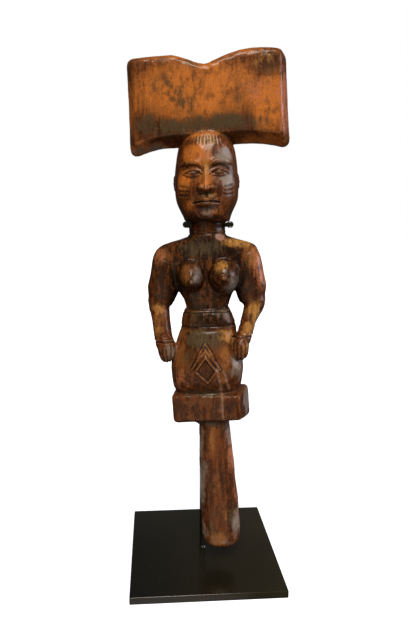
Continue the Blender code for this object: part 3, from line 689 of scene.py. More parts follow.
def carve_face(skin):
    """Lids, brows, nostrils, lips and cheek marks."""
    p = skin.points
    x, y, z = p.T
    face = (y < -8) & (z > 274) & (z < 330) & (skin.normals[:, 1] < 0.2)
    for side in (-1, 1):
        middle = FACE_MIDDLE + side * EYE_APART / 2
        across = (x - middle) / LID_HALF_WIDTH
        arch = np.clip(1 - across**2, 0, None)
        near = face * smooth_step(-np.abs(across), -1.12, -0.9)
        upper = EYE_LEVEL + LID_RISE * arch
        lower = EYE_LEVEL - LID_DROP * arch
        skin.groove(np.abs(z - upper - 2.3), 1.3, 0.45, near, 0.7)
        skin.groove(np.abs(z - upper), 1.9, -0.75, near)
        skin.groove(np.abs(z - lower), 1.5, -0.5, near)
        skin.groove(np.abs(z - upper + 1.5), 1.2, 0.5, near)
        skin.groove(np.abs(z - lower - 1.2), 1.0, 0.25, near, 0.6)
        brow_across = (x - middle - side * 1.2) / BROW_HALF_WIDTH
        brow = EYE_LEVEL + BROW_RISE - 3.4 * brow_across**2 + side * 0.6 * brow_across
        thick = 2.6 * np.clip(1.1 - brow_across**2, 0.2, 1)
        high = np.clip(1 - ((z - brow) / thick) ** 2, 0, 1)
        skin.push(-0.7 * high * face * smooth_step(-np.abs(brow_across), -1.05, -0.7))
        pit = np.array([FACE_MIDDLE + side * NOSTRIL_AT[0], *NOSTRIL_AT[1:]])
        away = np.linalg.norm((p - pit) / (1.5, 2.2, 1.5), axis=1)
        inside = np.clip(1 - away**2, 0, 1)
        z += 1.3 * inside
        # The nostrils are marked dark: painted shade inside them.
        skin.grime_and_shade = np.maximum(skin.grime_and_shade, inside)
        for mark in CHEEK_MARKS:
            line = [(FACE_MIDDLE + side * x, z) for x, z in mark]
            skin.groove(line_distance(p, line), *CHEEK_GROOVE, face, 0.4)
    crease = [(FACE_MIDDLE, NOSE_BASE - 1.2), (FACE_MIDDLE, MOUTH_LEVEL + 3.2)]
    skin.groove(line_distance(p, crease), 2.6, 0.45, face, 0.3)
    half = MOUTH_WIDTH / 2
    corner = MOUTH_LEVEL - 0.7
    parting = [
        (FACE_MIDDLE - half - 0.8, corner - 0.2), (FACE_MIDDLE - 3, MOUTH_LEVEL + 0.1),
        (FACE_MIDDLE, MOUTH_LEVEL - 0.3), (FACE_MIDDLE + 3, MOUTH_LEVEL + 0.1),
        (FACE_MIDDLE + half + 0.8, corner - 0.2),
    ]
    skin.groove(line_distance(p, parting), 1.3, 0.95, face)


def carve_ears(skin):
    """The hollow inside the rim of each small ear."""
    x, y, z = skin.points.T
    beside = np.abs(x - FACE_MIDDLE) > EAR_APART / 2 - SLEEVE_SHORT
    away = np.hypot((y - EAR_AT[0]) / 1.9, (z - EAR_AT[1]) / 4.2)
    skin.groove(np.abs(away - 0.55) * 2.4, 2.2, 0.9, beside & (away < 2))


def carve_hair(skin):
    """Strokes that run up the skull from the hairline, and fade round the back of the head."""
    p = skin.points
    rng = np.random.default_rng(SEED)
    x = p[:, 0] - 1.0
    y = p[:, 1] + 0.4
    round_head = np.arctan2(x, -y)
    side = np.abs(round_head) / math.pi
    hairline = HAIRLINE_FRONT + (HAIRLINE_BACK - HAIRLINE_FRONT) * smooth_step(side, 0.22, 0.85)
    step = 2 * math.pi / HAIR_STROKES
    stroke = np.round(round_head / step)
    start = rng.uniform(-1.2, 1.6, HAIR_STROKES + 2)[stroke.astype(int) % (HAIR_STROKES + 2)]
    sway = 0.05 * np.sin(stroke * 2.1 + p[:, 2] * 0.12)
    radius = np.hypot(x, y)
    away = np.abs(round_head / step - stroke - sway) * step * radius
    skull = np.array(HEAD)
    half_width = np.interp(p[:, 2], skull[:, 2], skull[:, 3])
    half_depth = np.interp(p[:, 2], skull[:, 2], skull[:, 4])
    head = (p[:, 2] > 285) & (np.hypot(x / half_width, y / half_depth) < 1.08)
    climb = smooth_step(p[:, 2] - hairline - start, 0.0, 3.0)
    top = smooth_step(-p[:, 2], -CROWN_LEVEL, -CROWN_LEVEL + 2.5)
    worn = 0.2 + 0.8 * smooth_step(-np.abs(round_head - 0.05), -0.75, -0.3)
    skin.groove(away, *HAIR_GROOVE, head * climb * top * worn, 0.6)


def carve_neck(skin):
    """The ring cut round the neck, the scratch above it and the chip beside it."""
    p = skin.points
    x, y, z = p.T
    neck = np.hypot(x, y) < 19
    for level, width, depth in NECK_GROOVES:
        wander = level + 0.25 * np.sin(x * 0.4)
        skin.groove(np.abs(z - wander), width, depth, neck, 0.5)
    at, radius, depth = NECK_CHIP
    offset = p - np.array(at)
    away = np.linalg.norm(offset / (1.05, 1.3, 0.72), axis=1) + 0.5 * np.sin(x * 1.7 + z)
    chip = smooth_step(-away, -radius, -radius * 0.78)
    skin.push(depth * chip)
    skin.pale = np.maximum(skin.pale, chip)


def carve_lap(skin):
    """The lozenge on the lap: a sunk rhomb in a raised border, under two nested chevrons."""
    p = skin.points
    front = (skin.normals[:, 1] < -0.1) & (p[:, 1] < -8)
    x, z = LOZENGE_AT
    top, bottom = (x, z + LOZENGE_UP), (x + LOZENGE_LEAN, z - LOZENGE_DOWN)
    left, right = (x - LOZENGE_HALF_WIDTH, z), (x + LOZENGE_HALF_WIDTH, z)
    border = line_distance(p, [top, right, bottom, left, top])
    height = np.where(p[:, 2] > z, LOZENGE_UP, LOZENGE_DOWN)
    lean = LOZENGE_LEAN * np.clip((z - p[:, 2]) / LOZENGE_DOWN, 0, 1)
    reach = np.abs(p[:, 0] - x - lean) / LOZENGE_HALF_WIDTH + np.abs(p[:, 2] - z) / height
    inside = smooth_step(-reach, -0.98, -0.80)
    skin.push(LOZENGE_FLOOR * inside * front)
    # The sunk floor is marked darker: partly grime, partly painted shade in the recess.
    skin.grime_and_shade = np.maximum(skin.grime_and_shade, 0.45 * inside * front)
    skin.groove(border, LOZENGE_BORDER[0], -LOZENGE_BORDER[1], front)
    rub = np.clip(1 - border / 1.0, 0, 1)
    for half, foot, apex in CHEVRONS:
        away = line_distance(p, [(x - half, z + foot), (x, z + apex), (x + half, z + foot)])
        skin.groove(away, CHEVRON_RIDGE[0], -CHEVRON_RIDGE[1], front)
        beside = np.abs(away - CHEVRON_GROOVE[0])
        skin.groove(beside, *CHEVRON_GROOVE, front & (reach > 1.15), 0.35)
        rub = np.maximum(rub, np.clip(1 - away / 0.8, 0, 1))
    skin.rub = rub * front


def carve_arms(skin):
    """The edges of the upper arms, the wrist lines and the line under the waistband's rim."""
    x, y, z = skin.points.T
    limbs = zip((ARM_LEFT, ARM_RIGHT), ELBOW_LEVELS, WRIST_LEVELS, (-1, 1))
    for arm, elbow, wrist, side in limbs:
        beside = side * x > 20
        level = elbow + 0.06 * (x - arm[5][0]) * side
        below = smooth_step(level - z, 0.0, 1.2) * smooth_step(z, 196, 206)
        skin.push(ELBOW_STEP * below * beside)
        # A painted shadow line under the step at the foot of the upper arm.
        skin.grime_and_shade = np.maximum(skin.grime_and_shade, 0.25 * beside * np.exp(-((z - level) ** 2)))
        cuff = (side * x > 17) & (np.abs(x - arm[10][0]) < 9.5)
        skin.groove(np.abs(z - wrist - 1.5), 1.6, -0.3, cuff)
        skin.groove(np.abs(z - wrist), *WRIST_GROOVE, cuff, 0.7)
    waist = (np.abs(x) < 24) & (np.abs(z - BAND_RIM) < 3)
    skin.groove(np.abs(z - BAND_RIM), *BAND_GROOVE, waist, 0.7)
    foot = (np.abs(x) < 25) & (np.abs(z - BAND_FOOT) < 4)
    skin.groove(np.abs(z - BAND_FOOT - 0.02 * x), *FOOT_GROOVE, foot, 0.5)


def carve_hands(skin):
    """The lines between the fingers of both fists, and the thumbs that lie against the lap."""
    p = skin.points
    for fist, side in ((FIST_LEFT, -1), (FIST_RIGHT, 1)):
        x, _, z = fist[2][:3]
        near = (np.abs(p[:, 0] - x) < 10) & (p[:, 2] > 160) & (p[:, 2] < 181)
        front = near & (skin.normals[:, 1] < 0.25)
        for finger in (-1, 0, 1):
            line = [
                (x + finger * FINGER_APART[0], z + 1.2), (x + finger * FINGER_APART[0], z - 2.5),
                (fist[3][0] + 0.6 + finger * FINGER_APART[1], fist[4][2] - 1),
            ]
            skin.groove(line_distance(p, line), *FINGER_GROOVE, front, 0.45)
        knuckles = np.clip(1 - np.abs(p[:, 2] - z - 1.5) / 3.2, 0, 1)
        ripple = np.cos((p[:, 0] - x) * 2 * math.pi / FINGER_APART[0] + math.pi)
        skin.push(-0.2 * knuckles * (1 + ripple) * front)
        thumb = [(x - side * across, z + up) for across, up in THUMB]
        skin.groove(line_distance(p, thumb), *THUMB_GROOVE, front, 0.5)


def carve_back(skin):
    """Plainer work on the back: the spine, the shoulder blades and the soles under the skirt."""
    x, y, z = skin.points.T
    back = smooth_step(skin.normals[:, 1], 0.2, 0.6)
    spine = smooth_step(-np.abs(x + 1.6), -4.0, 0.0)
    skin.push(0.9 * spine * back * smooth_step(z, 204, 212) * smooth_step(-z, -252, -244))
    for side in (-1, 1):
        blade = np.hypot((x + 1.4 - side * 13) / 9, (z - 238) / 11)
        skin.push(-0.7 * np.exp(-2.2 * blade**2) * back)
        edge = np.abs(np.hypot((x + 3 - side * 10) / 8.5, (z - 140) / 9.5) - 1) * 8
        sole = back * (z > 136.5) * (z < 152)
        skin.groove(edge, 1.6, 0.6, sole)


def carve_crack(skin):
    """The drying crack, open and pale, that runs from the lap through the slab."""
    p = skin.points
    x, y, z = p.T
    front = (skin.normals[:, 1] < 0.1) & (y < -6)
    for line in CRACKS:
        away = line_distance(p, line) + 0.3 * np.sin(z * 1.1) * np.sin(z * 0.37)
        away = np.abs(away)
        skin.groove(away, *CRACK_GROOVE, front, 0.4)
        skin.pale = np.maximum(skin.pale, np.clip(1.5 - away / 0.7, 0, 1) * front)


def cut_handle_flats(skin):
    """The long flats that a knife leaves down the handle."""
    x, y, z = skin.points.T
    table = np.array(HANDLE)
    middle = np.interp(z, table[:, 2], table[:, 0])
    half_width = np.interp(z, table[:, 2], table[:, 3])
    half_depth = np.interp(z, table[:, 2], table[:, 4])
    fade = smooth_step(-z, -HANDLE_TOP, -HANDLE_TOP + 4) * smooth_step(z, 4, 14)
    for angle, share in HANDLE_FLATS:
        turn = math.radians(angle) + 0.02 * np.sin(z * 0.05 + angle)
        reach = (x - middle) * np.cos(turn) + y * np.sin(turn)
        size = np.hypot(half_width * np.cos(turn), half_depth * np.sin(turn)) * share
        over = np.clip(reach - size, 0, None) * fade * 0.85
        x -= over * np.cos(turn)
        y -= over * np.sin(turn)


def knife_work(skin):
    """Small flats all over, as a knife leaves them, a slight unevenness and old dents."""
    rng = np.random.default_rng(SEED)
    p = skin.points
    skin.push(0.22 * noise_at(p, 17.0, 3.0))
    skin.renew()
    p = skin.points
    chosen = rng.choice(len(p), KNIFE_FLATS, replace=False)
    stretched = p * (1, 1, 0.6)
    seed = chosen[nearest_of(stretched[chosen], stretched)[0]]
    seed_normal = skin.normals[seed]
    over = np.sum((p - p[seed]) * seed_normal, axis=1)
    facing = np.clip(np.sum(skin.normals * seed_normal, axis=1), 0, 1) ** 3
    flat = np.clip(over, -KNIFE_DEPTH, KNIFE_DEPTH)
    face = smooth_step(p[:, 2], 276, 284) * smooth_step(-p[:, 2], -328, -320)
    skin.points = p - seed_normal * (flat * facing * 0.62 * (1 - 0.75 * face))[:, None]
    skin.renew()
    places = rng.choice(len(p), DENTS, replace=False)
    radius = rng.uniform(0.8, 2.2, DENTS)
    depth = rng.uniform(0.08, 0.4, DENTS)
    number, away = nearest_of(skin.points[places], skin.points)
    skin.push(depth[number] * np.exp(-((away / radius[number]) ** 2) * 1.5))


def to_frame():
    """From the staff's own millimetres to the shared frame."""
    return (
        Matrix.Translation(Vector(NECK_AT) * MM)
        @ Matrix.Rotation(math.radians(TURN), 4, "Z")
        @ Matrix.Rotation(math.radians(-LEAN), 4, "Y")
        @ Matrix.Translation((0, 0, -NECK_LEVEL * MM))
    )


def carve_staff():
    """The whole carving, with the marks on its skin kept as attributes for the finish."""
    rough = new_object("rough", joined_mesh("rough", staff_forms()))
    join = rough.modifiers.new("Join", "REMESH")
    join.mode = "VOXEL"
    join.voxel_size = VOXEL * MM
    ease = rough.modifiers.new("Ease", "SMOOTH")
    ease.factor = 0.5
    ease.iterations = EASE_STEPS
    skin = Surface(applied(rough))
    soften(skin)
    cut_handle_flats(skin)
    skin.renew()
    knife_work(skin)
    skin.renew()
    for work in (carve_back, carve_neck, carve_hair, carve_ears, carve_face, carve_lap, carve_arms,
                 carve_hands, carve_crack):
        work(skin)
    skin.renew()
    fine = skin.proud(3)
    marks = {
        # The first and the last of these marks darken the colour, in grooves and recesses and in concave
        # hollows: partly grime, partly painted shade.
        "grime_and_shade": np.clip(skin.round_off(skin.grime_and_shade, 1), 0, 1),
        "pale": np.clip(skin.pale, 0, 1),
        "edge": np.clip(skin.round_off(np.clip(fine * 9 - 0.3, 0, 1), 1) + skin.rub * 0.8, 0, 1),
        "hollow": np.clip(-fine * 8, 0, 1),
    }
    dense = new_object("dense", skin.mesh)
    thin = dense.modifiers.new("Thin", "DECIMATE")
    thin.ratio = TRIANGLES / sum(len(face.vertices) - 2 for face in skin.mesh.polygons)
    thin.use_collapse_triangulate = True
    mesh = applied(dense)
    points = np.empty(len(mesh.vertices) * 3)
    mesh.vertices.foreach_get("co", points)
    points = points.reshape(-1, 3) / MM
    nearest = nearest_of(skin.points, points)[0]
    marks = {name: values[nearest] for name, values in marks.items()}
    for name, values in (marks | patches(points)).items():
        layer = mesh.attributes.new(name, "FLOAT", "POINT")
        layer.data.foreach_set("value", values.astype(np.float32))
    mesh.name = "carved_staff_fine"
    mesh.transform(to_frame())
    mesh.shade_smooth()
    return new_object("shango_carving", mesh)


# Areas of the finish on the staff: x, y and z of the middle, reach in x, y and z, and strength. deep is
# where old oil went nearly black, warm bare red-brown, and then in order: orange-brown wear from
# handling, which on the axe's lower bevel also paints light onto its underside; golden worn wood with a
# painted highlight on shoulders, hairline, forearms and other rounded tops; dark olive stains, which also
# paint shade under the lap, under the slab and along the lower band of the axe; a pinkish red, which on
# right-facing sides is a painted tint of the light from the right; the grey haze of old oil with a
# painted bluish sheen on surfaces facing right and painted light on the axe's lower bevel; and painted
# shade, near black, in the armpits, under the upper arms, under the chin and nose and along the foot of
# the waistband.
FINISH_AREAS = {
    "deep": [
        (0, 0, 238, 70, 40, 46, 1.2), (0, 0, 200, 26, 40, 16, 1.3), (0, 0, 268, 24, 24, 12, 0.8),
        (-10, -16, 182, 18, 14, 14, 0.7), (0, 0, 124, 44, 30, 13, 0.8),
        (0, 0, 145, 40, 30, 12, 0.5), (14, -8, 28, 7, 20, 18, 0.7), (-10, -18, 290, 9, 9, 10, 0.4),
        (-35, -10, 172, 9, 16, 10, 0.7), (25, -10, 170, 8, 16, 9, 0.6),
        (0, -8, 104, 16, 20, 10, 0.5), (3, -8, 58, 16, 16, 52, 0.5),
    ],
    "warm": [
        (1, -10, 92, 8, 16, 30, 0.7), (2, -10, 44, 10, 16, 40, 0.4),
        (-14, -16, 120, 26, 14, 10, 0.25), (-3, -20, 152, 26, 14, 18, 0.35),
        (0, -12, 272, 18, 18, 6, 0.5), (0, 16, 100, 60, 16, 100, 0.6),
    ],
    "rubbed_wear_and_bevel_light": [
        (-6, -12, 368, 56, 30, 26, 1.0), (48, -12, 356, 16, 30, 24, 1.0),
        (0, 14, 362, 62, 20, 30, 0.8), (0, 0, 394, 64, 24, 9, 0.9), (-56, -10, 358, 9, 24, 28, 0.6),
        # These two entries on the axe's lower bevel paint light onto its underside.
        (-44, -8, 326, 22, 26, 8, 1.0), (42, -8, 328, 22, 26, 8, 1.0),
        (-4, -18, 320, 13, 12, 13, 0.85), (-16, -18, 303, 8, 10, 10, 0.7),
        (-13, -20, 284, 6, 9, 6, 0.5), (8, -22, 279, 6, 9, 5, 0.4), (0, -14, 336, 16, 12, 5, 0.8),
        (0, -26, 303, 7, 9, 12, 0.6), (-37, -6, 248, 10, 14, 7, 0.5),
        (-17, -16, 234, 7, 10, 9, 0.5), (36, -6, 244, 9, 12, 12, 0.6),
        (-24, -16, 165, 8, 12, 20, 0.45), (-23, -10, 184, 7, 10, 7, 0.5),
        (-4, -22, 172, 8, 8, 6, 0.65), (11, -20, 168, 5, 8, 15, 0.6), (8, -20, 150, 4, 8, 9, 0.45),
        (-40, -6, 200, 7, 10, 14, 0.5), (27, -18, 174, 6, 8, 5, 0.5),
        (-20, -18, 117, 12, 6, 4, 0.3), (-8, -18, 131, 14, 6, 4, 0.3),
        (0, -14, 96, 3.5, 8, 20, 0.55), (1, -14, 9, 10, 12, 9, 0.6), (1, -14, 62, 3.0, 8, 14, 0.35),
        (8, -14, 34, 3.0, 8, 16, 0.4), (0, 14, 235, 26, 12, 16, 0.4), (0, 16, 160, 20, 10, 18, 0.4),
    ],
    # Golden worn wood, with a painted highlight on shoulders, hairline, forearms and other rounded tops.
    "gold_wear_and_highlight": [
        (2, -16, 331, 12, 10, 6, 0.8), (0, -24, 311, 4, 7, 9, 0.6), (23, -6, 256, 15, 14, 5, 0.9),
        (9, -18, 238, 9, 9, 7, 0.7), (14, -14, 183, 8, 8, 8, 0.75), (35, -8, 202, 7, 9, 10, 0.9),
        (-41, -6, 205, 7, 9, 7, 0.7), (44, -8, 386, 12, 8, 6, 0.7), (0, -22, 290, 12, 8, 5, 0.5),
        (29, -12, 188, 6, 8, 7, 0.8), (-40, -8, 190, 6, 8, 8, 0.6), (-17, -18, 228, 4, 6, 5, 0.5),
        (37, -8, 192, 6, 9, 12, 0.5),
    ],
    # Dark olive stains; the entries under the lap, under the slab and along the lower band of the axe are
    # painted shade.
    "smoke_stain_and_shade": [
        (0, -14, 343.5, 64, 26, 9, 0.75), (-13, -14, 361, 12, 14, 14, 0.5),
        (47, -12, 380, 13, 14, 9, 0.4), (27, -12, 374, 9, 12, 12, 0.2),
        (-10, -12, 385, 10, 12, 8, 0.45), (-44, -10, 345, 13, 12, 12, 0.7),
        (25, -12, 360, 5, 12, 22, 0.35), (-9, -18, 183, 13, 12, 9, 1.0),
        (5, -18, 182, 10, 10, 9, 0.7), (-4, -6, 252, 24, 14, 9, 0.7),
        (-5, -18, 138, 30, 26, 4, 0.7), (-12, -12, 197, 9, 14, 8, 0.4),
        (0, 14, 190, 28, 12, 14, 0.7), (0, 12, 342, 54, 20, 14, 0.8),
        (-18, -18, 168, 7, 10, 9, 0.5), (-3, -14, 20, 4, 10, 12, 0.5),
        (13, -10, 30, 5, 10, 14, 0.6), (8, -12, 112, 6, 12, 12, 0.5), (0, -10, 112, 16, 16, 5, 0.6),
        (-30, -12, 374, 14, 12, 10, 0.45),
    ],
    # A pinkish red; on the right-facing sides of the axe, the right upper arm and the handle it is a
    # painted tint of the light from the right.
    "ruddy_and_side_light": [
        (59, 0, 358, 7, 28, 34, 0.8), (41, -5, 236, 9, 18, 22, 0.6), (-38, -6, 247, 9, 14, 8, 0.32),
        (-23, -14, 150, 8, 14, 14, 0.5), (8, -22, 288, 11, 9, 4, 0.25),
        (-30, -8, 176, 6, 9, 9, 0.5), (-54, -8, 326, 8, 9, 6, 0.5), (15, -6, 84, 5, 14, 30, 0.6),
        (18, -6, 44, 4, 14, 22, 0.4), (40, -14, 366, 13, 10, 14, 0.4), (13, -18, 326, 8, 8, 6, 0.4),
    ],
    # Grey haze of old oil, with a painted bluish sheen on surfaces facing right and painted light on the
    # axe's lower bevel.
    "haze_and_sheen": [
        (16, -20, 302, 8, 10, 7, 0.8), (3, -22, 281, 8, 9, 7, 0.6), (13, -18, 320, 9, 10, 9, 1.0),
        (11, -12, 268, 4, 6, 5, 0.8), (-8, -18, 231, 7, 10, 9, 0.8), (18, -14, 226, 9, 12, 11, 0.9),
        (12, -14, 199, 11, 10, 8, 0.3), (20, -14, 158, 8, 11, 14, 0.6),
        (30, -2, 126, 6, 22, 15, 1.1), (-32, -14, 173, 6, 9, 8, 0.6), (-10, -8, 70, 5, 12, 56, 0.6),
        (13, -8, 100, 5, 12, 14, 0.5), (-44, -10, 326, 22, 24, 7, 0.9), (8, -18, 323, 8, 9, 7, 0.5),
        (6, -10, 8, 14, 12, 5, 0.5), (18, -6, 26, 6, 14, 24, 0.62), (-10, -6, 16, 4, 12, 14, 0.7),
        (37, -6, 196, 5, 10, 11, 0.4), (14, 4, 141, 22, 16, 5, 0.5),
    ],
    # Painted shade: near black in the armpits, under the upper arms, under the chin and the nose, and
    # along the foot of the waistband.
    "painted_shade": [
        (24, -2, 222, 8, 16, 22, 0.9), (-27, -2, 222, 8, 16, 20, 0.8), (0, -8, 262, 20, 16, 5, 0.4),
        (0, -12, 210, 16, 12, 8, 0.3), (0, -12, 274, 22, 24, 3.0, 0.7),
        (-38, 0, 215, 12, 14, 11, 0.5), (34, 0, 215, 12, 14, 9, 0.5),
        (0, -10, 193, 24, 20, 3.5, 0.6), (0, -24, 293, 6, 6, 2.5, 0.5),
    ],
}


def patches(points):
    """How strongly each area of the finish shows at each point, with a wandering edge."""
    wander = [noise_at(points, size, offset) for size, offset in ((9.0, 1.0), (4.0, 5.0))]
    warped = points + np.stack([wander[0] * 3.0, wander[1] * 1.5, wander[0] * 2 - wander[1] * 2], 1)
    found = {}
    for tone, areas in FINISH_AREAS.items():
        total = np.zeros(len(points))
        for area in areas:
            away = np.linalg.norm((warped - area[:3]) / area[3:6], axis=1)
            total = np.maximum(total, area[6] * smooth_step(-away, -1.25, -0.25))
        found[tone] = total
    return found


def linear(code):
    """An sRGB hex colour as linear red, green, blue and alpha."""
    parts = [int(code[i : i + 2], 16) / 255 for i in (0, 2, 4)]
    return (*[c / 12.92 if c <= 0.04045 else ((c + 0.055) / 1.055) ** 2.4 for c in parts], 1)


def add(tree, kind, links=None, **settings):
    """One shader or geometry node, with its settings and what its sockets take."""
    node = tree.nodes.new(kind)
    for name, value in settings.items():
        setattr(node, name, value)
    for socket, value in (links or {}).items():
        if isinstance(value, bpy.types.NodeSocket):
            tree.links.new(value, node.inputs[socket])
        else:
            node.inputs[socket].default_value = value
    return node


class Finish:
    """A node material in the making, with one short call for each node that finishes repeat."""

    def __init__(self, name):
        self.material = bpy.data.materials.new(name)
        self.material.use_nodes = True
        self.tree = self.material.node_tree
        self.tree.nodes.clear()
        self.at = self.node("TexCoord").outputs["Object"]

    def node(self, kind, links=None, **settings):
        return add(self.tree, "ShaderNode" + kind, links, **settings)

    def mark(self, name):
        """What a mark on the mesh says."""
        return self.node("Attribute", attribute_name=name).outputs["Fac"]

    def lumps(self, per_metre, detail, stretch=(1, 1, 1), rough=0.5, shift=0.0):
        """Noise with so many lumps to the metre."""
        placed = self.node("Mapping", {
            "Vector": self.at, "Location": (shift, shift, shift), "Scale": stretch,
        })
        return self.node("TexNoise", {
            "Vector": placed.outputs["Vector"], "Scale": per_metre, "Detail": detail,
            "Roughness": rough,
        }).outputs["Fac"]

    def times(self, first, second):
        return self.node("Math", {0: first, 1: second}, operation="MULTIPLY").outputs["Value"]

    def line(self, value, gain, start, clamp=True):
        """The value times gain plus start, kept from 0 to 1 unless clamp is off."""
        links = {0: value, 1: gain, 2: start}
        made = self.node("Math", links, operation="MULTIPLY_ADD", use_clamp=clamp)
        return made.outputs["Value"]

    def blend(self, parts):
        """Noises added up by their shares."""
        (lumps, share), *rest = parts
        total = self.times(lumps, share)
        for lumps, share in rest:
            total = self.line(lumps, share, total, clamp=False)
        return total

    def over(self, under, top, share, blend="MIX"):
        """One colour over another. The top one is a hex colour or what a node gives."""
        if isinstance(top, str):
            top = linear(top)
        links = {0: share, 6: under, 7: top}
        return self.node("Mix", links, data_type="RGBA", blend_type=blend).outputs[2]

    def done(self, settings, bump=None):
        """The material, from what its shader takes and its bump: strength, millimetres, height."""
        if bump:
            strength, depth, height = bump
            links = {"Strength": strength, "Distance": depth * MM, "Height": height}
            settings["Normal"] = self.node("Bump", links).outputs["Normal"]
        shader = self.node("BsdfPrincipled", settings)
        self.node("OutputMaterial", {"Surface": shader.outputs["BSDF"]})
        return self.material


def oiled_hardwood():
    """Iroko-like hardwood, knife-cut, oiled and handled for years: a red-brown depth, orange where hands
    wore it, olive stains, a grey haze of old oil, and a soft uneven gloss. Painted into the colour
    besides are shade in grooves, hollows and under forms, a bluish sheen and golden highlights where
    surfaces face the lamps, and light on the underside of the axe's lower bevel."""
    finish = Finish("oiled_carved_hardwood")
    mark, over, times, line = finish.mark, finish.over, finish.times, finish.line

    def grain_lumps(size_mm, detail, rough, along, shift=0.0):
        """Noise with lumps of that many millimetres, so many times longer along the grain."""
        return finish.lumps(1 / (size_mm * MM), detail, (1, 1, 1 / along), rough, shift)

    def strong(parts):
        """Noises added up, with their contrast stretched to the full range."""
        return line(finish.blend(parts), 3.4, -1.2)

    def share_of(lumps, gain, start, most):
        """A share that rises with the noise, from nothing to the most."""
        return times(line(lumps, gain, start), most)

    def ragged(name, lumps, gain, spread, bias):
        """A mark whose edge the noise breaks up, and that is nothing where the mark is nothing."""
        mask = mark(name)
        pull = line(lumps, spread, -0.5 * spread - bias, clamp=False)
        pulled = finish.node("Math", {0: mask, 1: pull}, operation="ADD").outputs["Value"]
        return times(line(pulled, gain, 0.5), line(mask, 2.0, 0.0))

    coarse = grain_lumps(11.0, 5.0, 0.62, 1.8)
    middling = grain_lumps(4.2, 5.0, 0.68, 1.5, 3.0)
    small = grain_lumps(1.4, 3.0, 0.6, 1.3, 7.0)
    streak = grain_lumps(2.2, 4.0, 0.6, 9.0, 5.0)
    pores = grain_lumps(0.55, 2.0, 0.5, 14.0, 1.0)
    cloud = strong([(middling, 0.5), (coarse, 0.5)])
    fleck = strong([(small, 0.25), (middling, 0.35), (streak, 0.4)])
    freckle = strong([(small, 0.6), (middling, 0.4)])

    colour = over(linear("3a1c0a"), "6b3817", cloud)
    colour = over(colour, "1f1004", times(mark("deep"), 0.88))
    colour = over(colour, "8a4a1c", share_of(fleck, 3.0, -1.45, 0.6))
    colour = over(colour, "322c18", share_of(coarse, 8.0, -4.3, 0.5))
    colour = over(colour, "7b4015", ragged("warm", fleck, 1.2, 1.2, 0.6))
    # Bare wood is paler and browner on the handle, and more orange up on the axe
    level = finish.node("SeparateXYZ", {"Vector": finish.at}).outputs["Z"]
    bare = over(linear("915c2e"), "c8752f", line(level, 60.0, -16.4))
    # Orange-brown wear from handling, which on the axe's lower bevel also paints light onto its
    # underside.
    colour = over(colour, bare, ragged("rubbed_wear_and_bevel_light", fleck, 1.3, 1.1, 0.30))
    colour = over(colour, "6f4220", times(mark("rubbed_wear_and_bevel_light"), share_of(cloud, 2.4, -0.9, 0.8)))
    # Olive stains with painted shade among them, a pinkish red that is partly painted side light, grey
    # oil haze with a painted sheen, golden wear with a painted highlight, and painted shade.
    for name, code, lumps, gain, spread, bias in (
        ("smoke_stain_and_shade", "52432c", fleck, 1.3, 1.5, 0.45), ("ruddy_and_side_light", "b8714f", fleck, 1.4, 1.4, 0.50),
        ("haze_and_sheen", "8d7d70", cloud, 1.2, 1.3, 0.52), ("gold_wear_and_highlight", "b27d3d", fleck, 1.2, 1.4, 0.54),
        ("painted_shade", "100401", cloud, 1.2, 0.9, 0.46),
    ):
        colour = over(colour, code, ragged(name, lumps, gain, spread, bias))
    colour = over(colour, "241006", share_of(freckle, 3.0, -1.7, 0.32))
    colour = over(colour, "b98552", times(mark("edge"), share_of(small, 2.6, -0.75, 0.5)))
    # Grooves, recesses and hollows are darkened: partly grime, partly painted shade.
    grime_and_shade = line(mark("grime_and_shade"), 0.8, times(mark("hollow"), 0.5))
    colour = over(colour, "150802", grime_and_shade)
    colour = over(colour, "8f6a54", mark("pale"))
    shade = times(line(pores, 0.8, 0.6), line(small, 1.3, 0.35))
    colour = over(colour, shade, 1.0, "MULTIPLY")

    gloss = line(grime_and_shade, 0.3, line(middling, 0.40, 0.30))
    return finish.done({
        "Base Color": colour, "Roughness": gloss, "IOR": 1.48, "Specular IOR Level": 0.08,
        "Coat Weight": 0.38, "Coat Roughness": 0.22, "Coat IOR": 1.46,
    }, (0.6, 0.3, finish.blend([(small, 0.8), (pores, 0.5)])))


def black_steel():
    """Mild steel plate and rod under satin black paint: near black, lighter and warmer to the right,
    where a warm sheen is painted into the colour, with orange peel about a millimetre across, wiped
    smears, and dust and nicks that show pale."""
    finish = Finish("satin_black_painted_steel")
    over, line = finish.over, finish.line
    peel = finish.lumps(900.0, 2.0)
    cloud = finish.lumps(30.0, 4.0)
    smear = finish.lumps(22.0, 5.0, (1.0, 0.35, 1.0))
    dust = finish.lumps(620.0, 1.0)
    scratch = finish.lumps(90.0, 2.0, (1.0, 14.0, 1.0))
    across = finish.node("SeparateXYZ", {"Vector": finish.at}).outputs["X"]
    # Painted reflection: a warm olive sheen painted into the colour, growing towards the viewer's right.
    colour = over(linear("0c0d0a"), "2c2717", line(across, 7.0, 0.5))
    colour = over(colour, "0a0b0a", finish.times(cloud, 0.6))
    colour = over(colour, "3a382f", line(dust, 9.0, -6.4))
    colour = over(colour, "2a2923", line(scratch, 5.0, -3.4))
    rough = line(smear, 0.3, 0.04)
    return finish.done({"Base Color": colour, "Roughness": rough, "IOR": 1.5}, (0.2, 0.04, peel))


def black_rubber():
    """Heat-shrunk rubber tube: matt near black with a fine grain."""
    finish = Finish("black_rubber_tube")
    grain = finish.lumps(1600.0, 2.0)
    colour = finish.over(linear("050404"), "0d0c0b", grain)
    return finish.done({"Base Color": colour, "Roughness": 0.7, "IOR": 1.5}, (0.3, 0.04, grain))


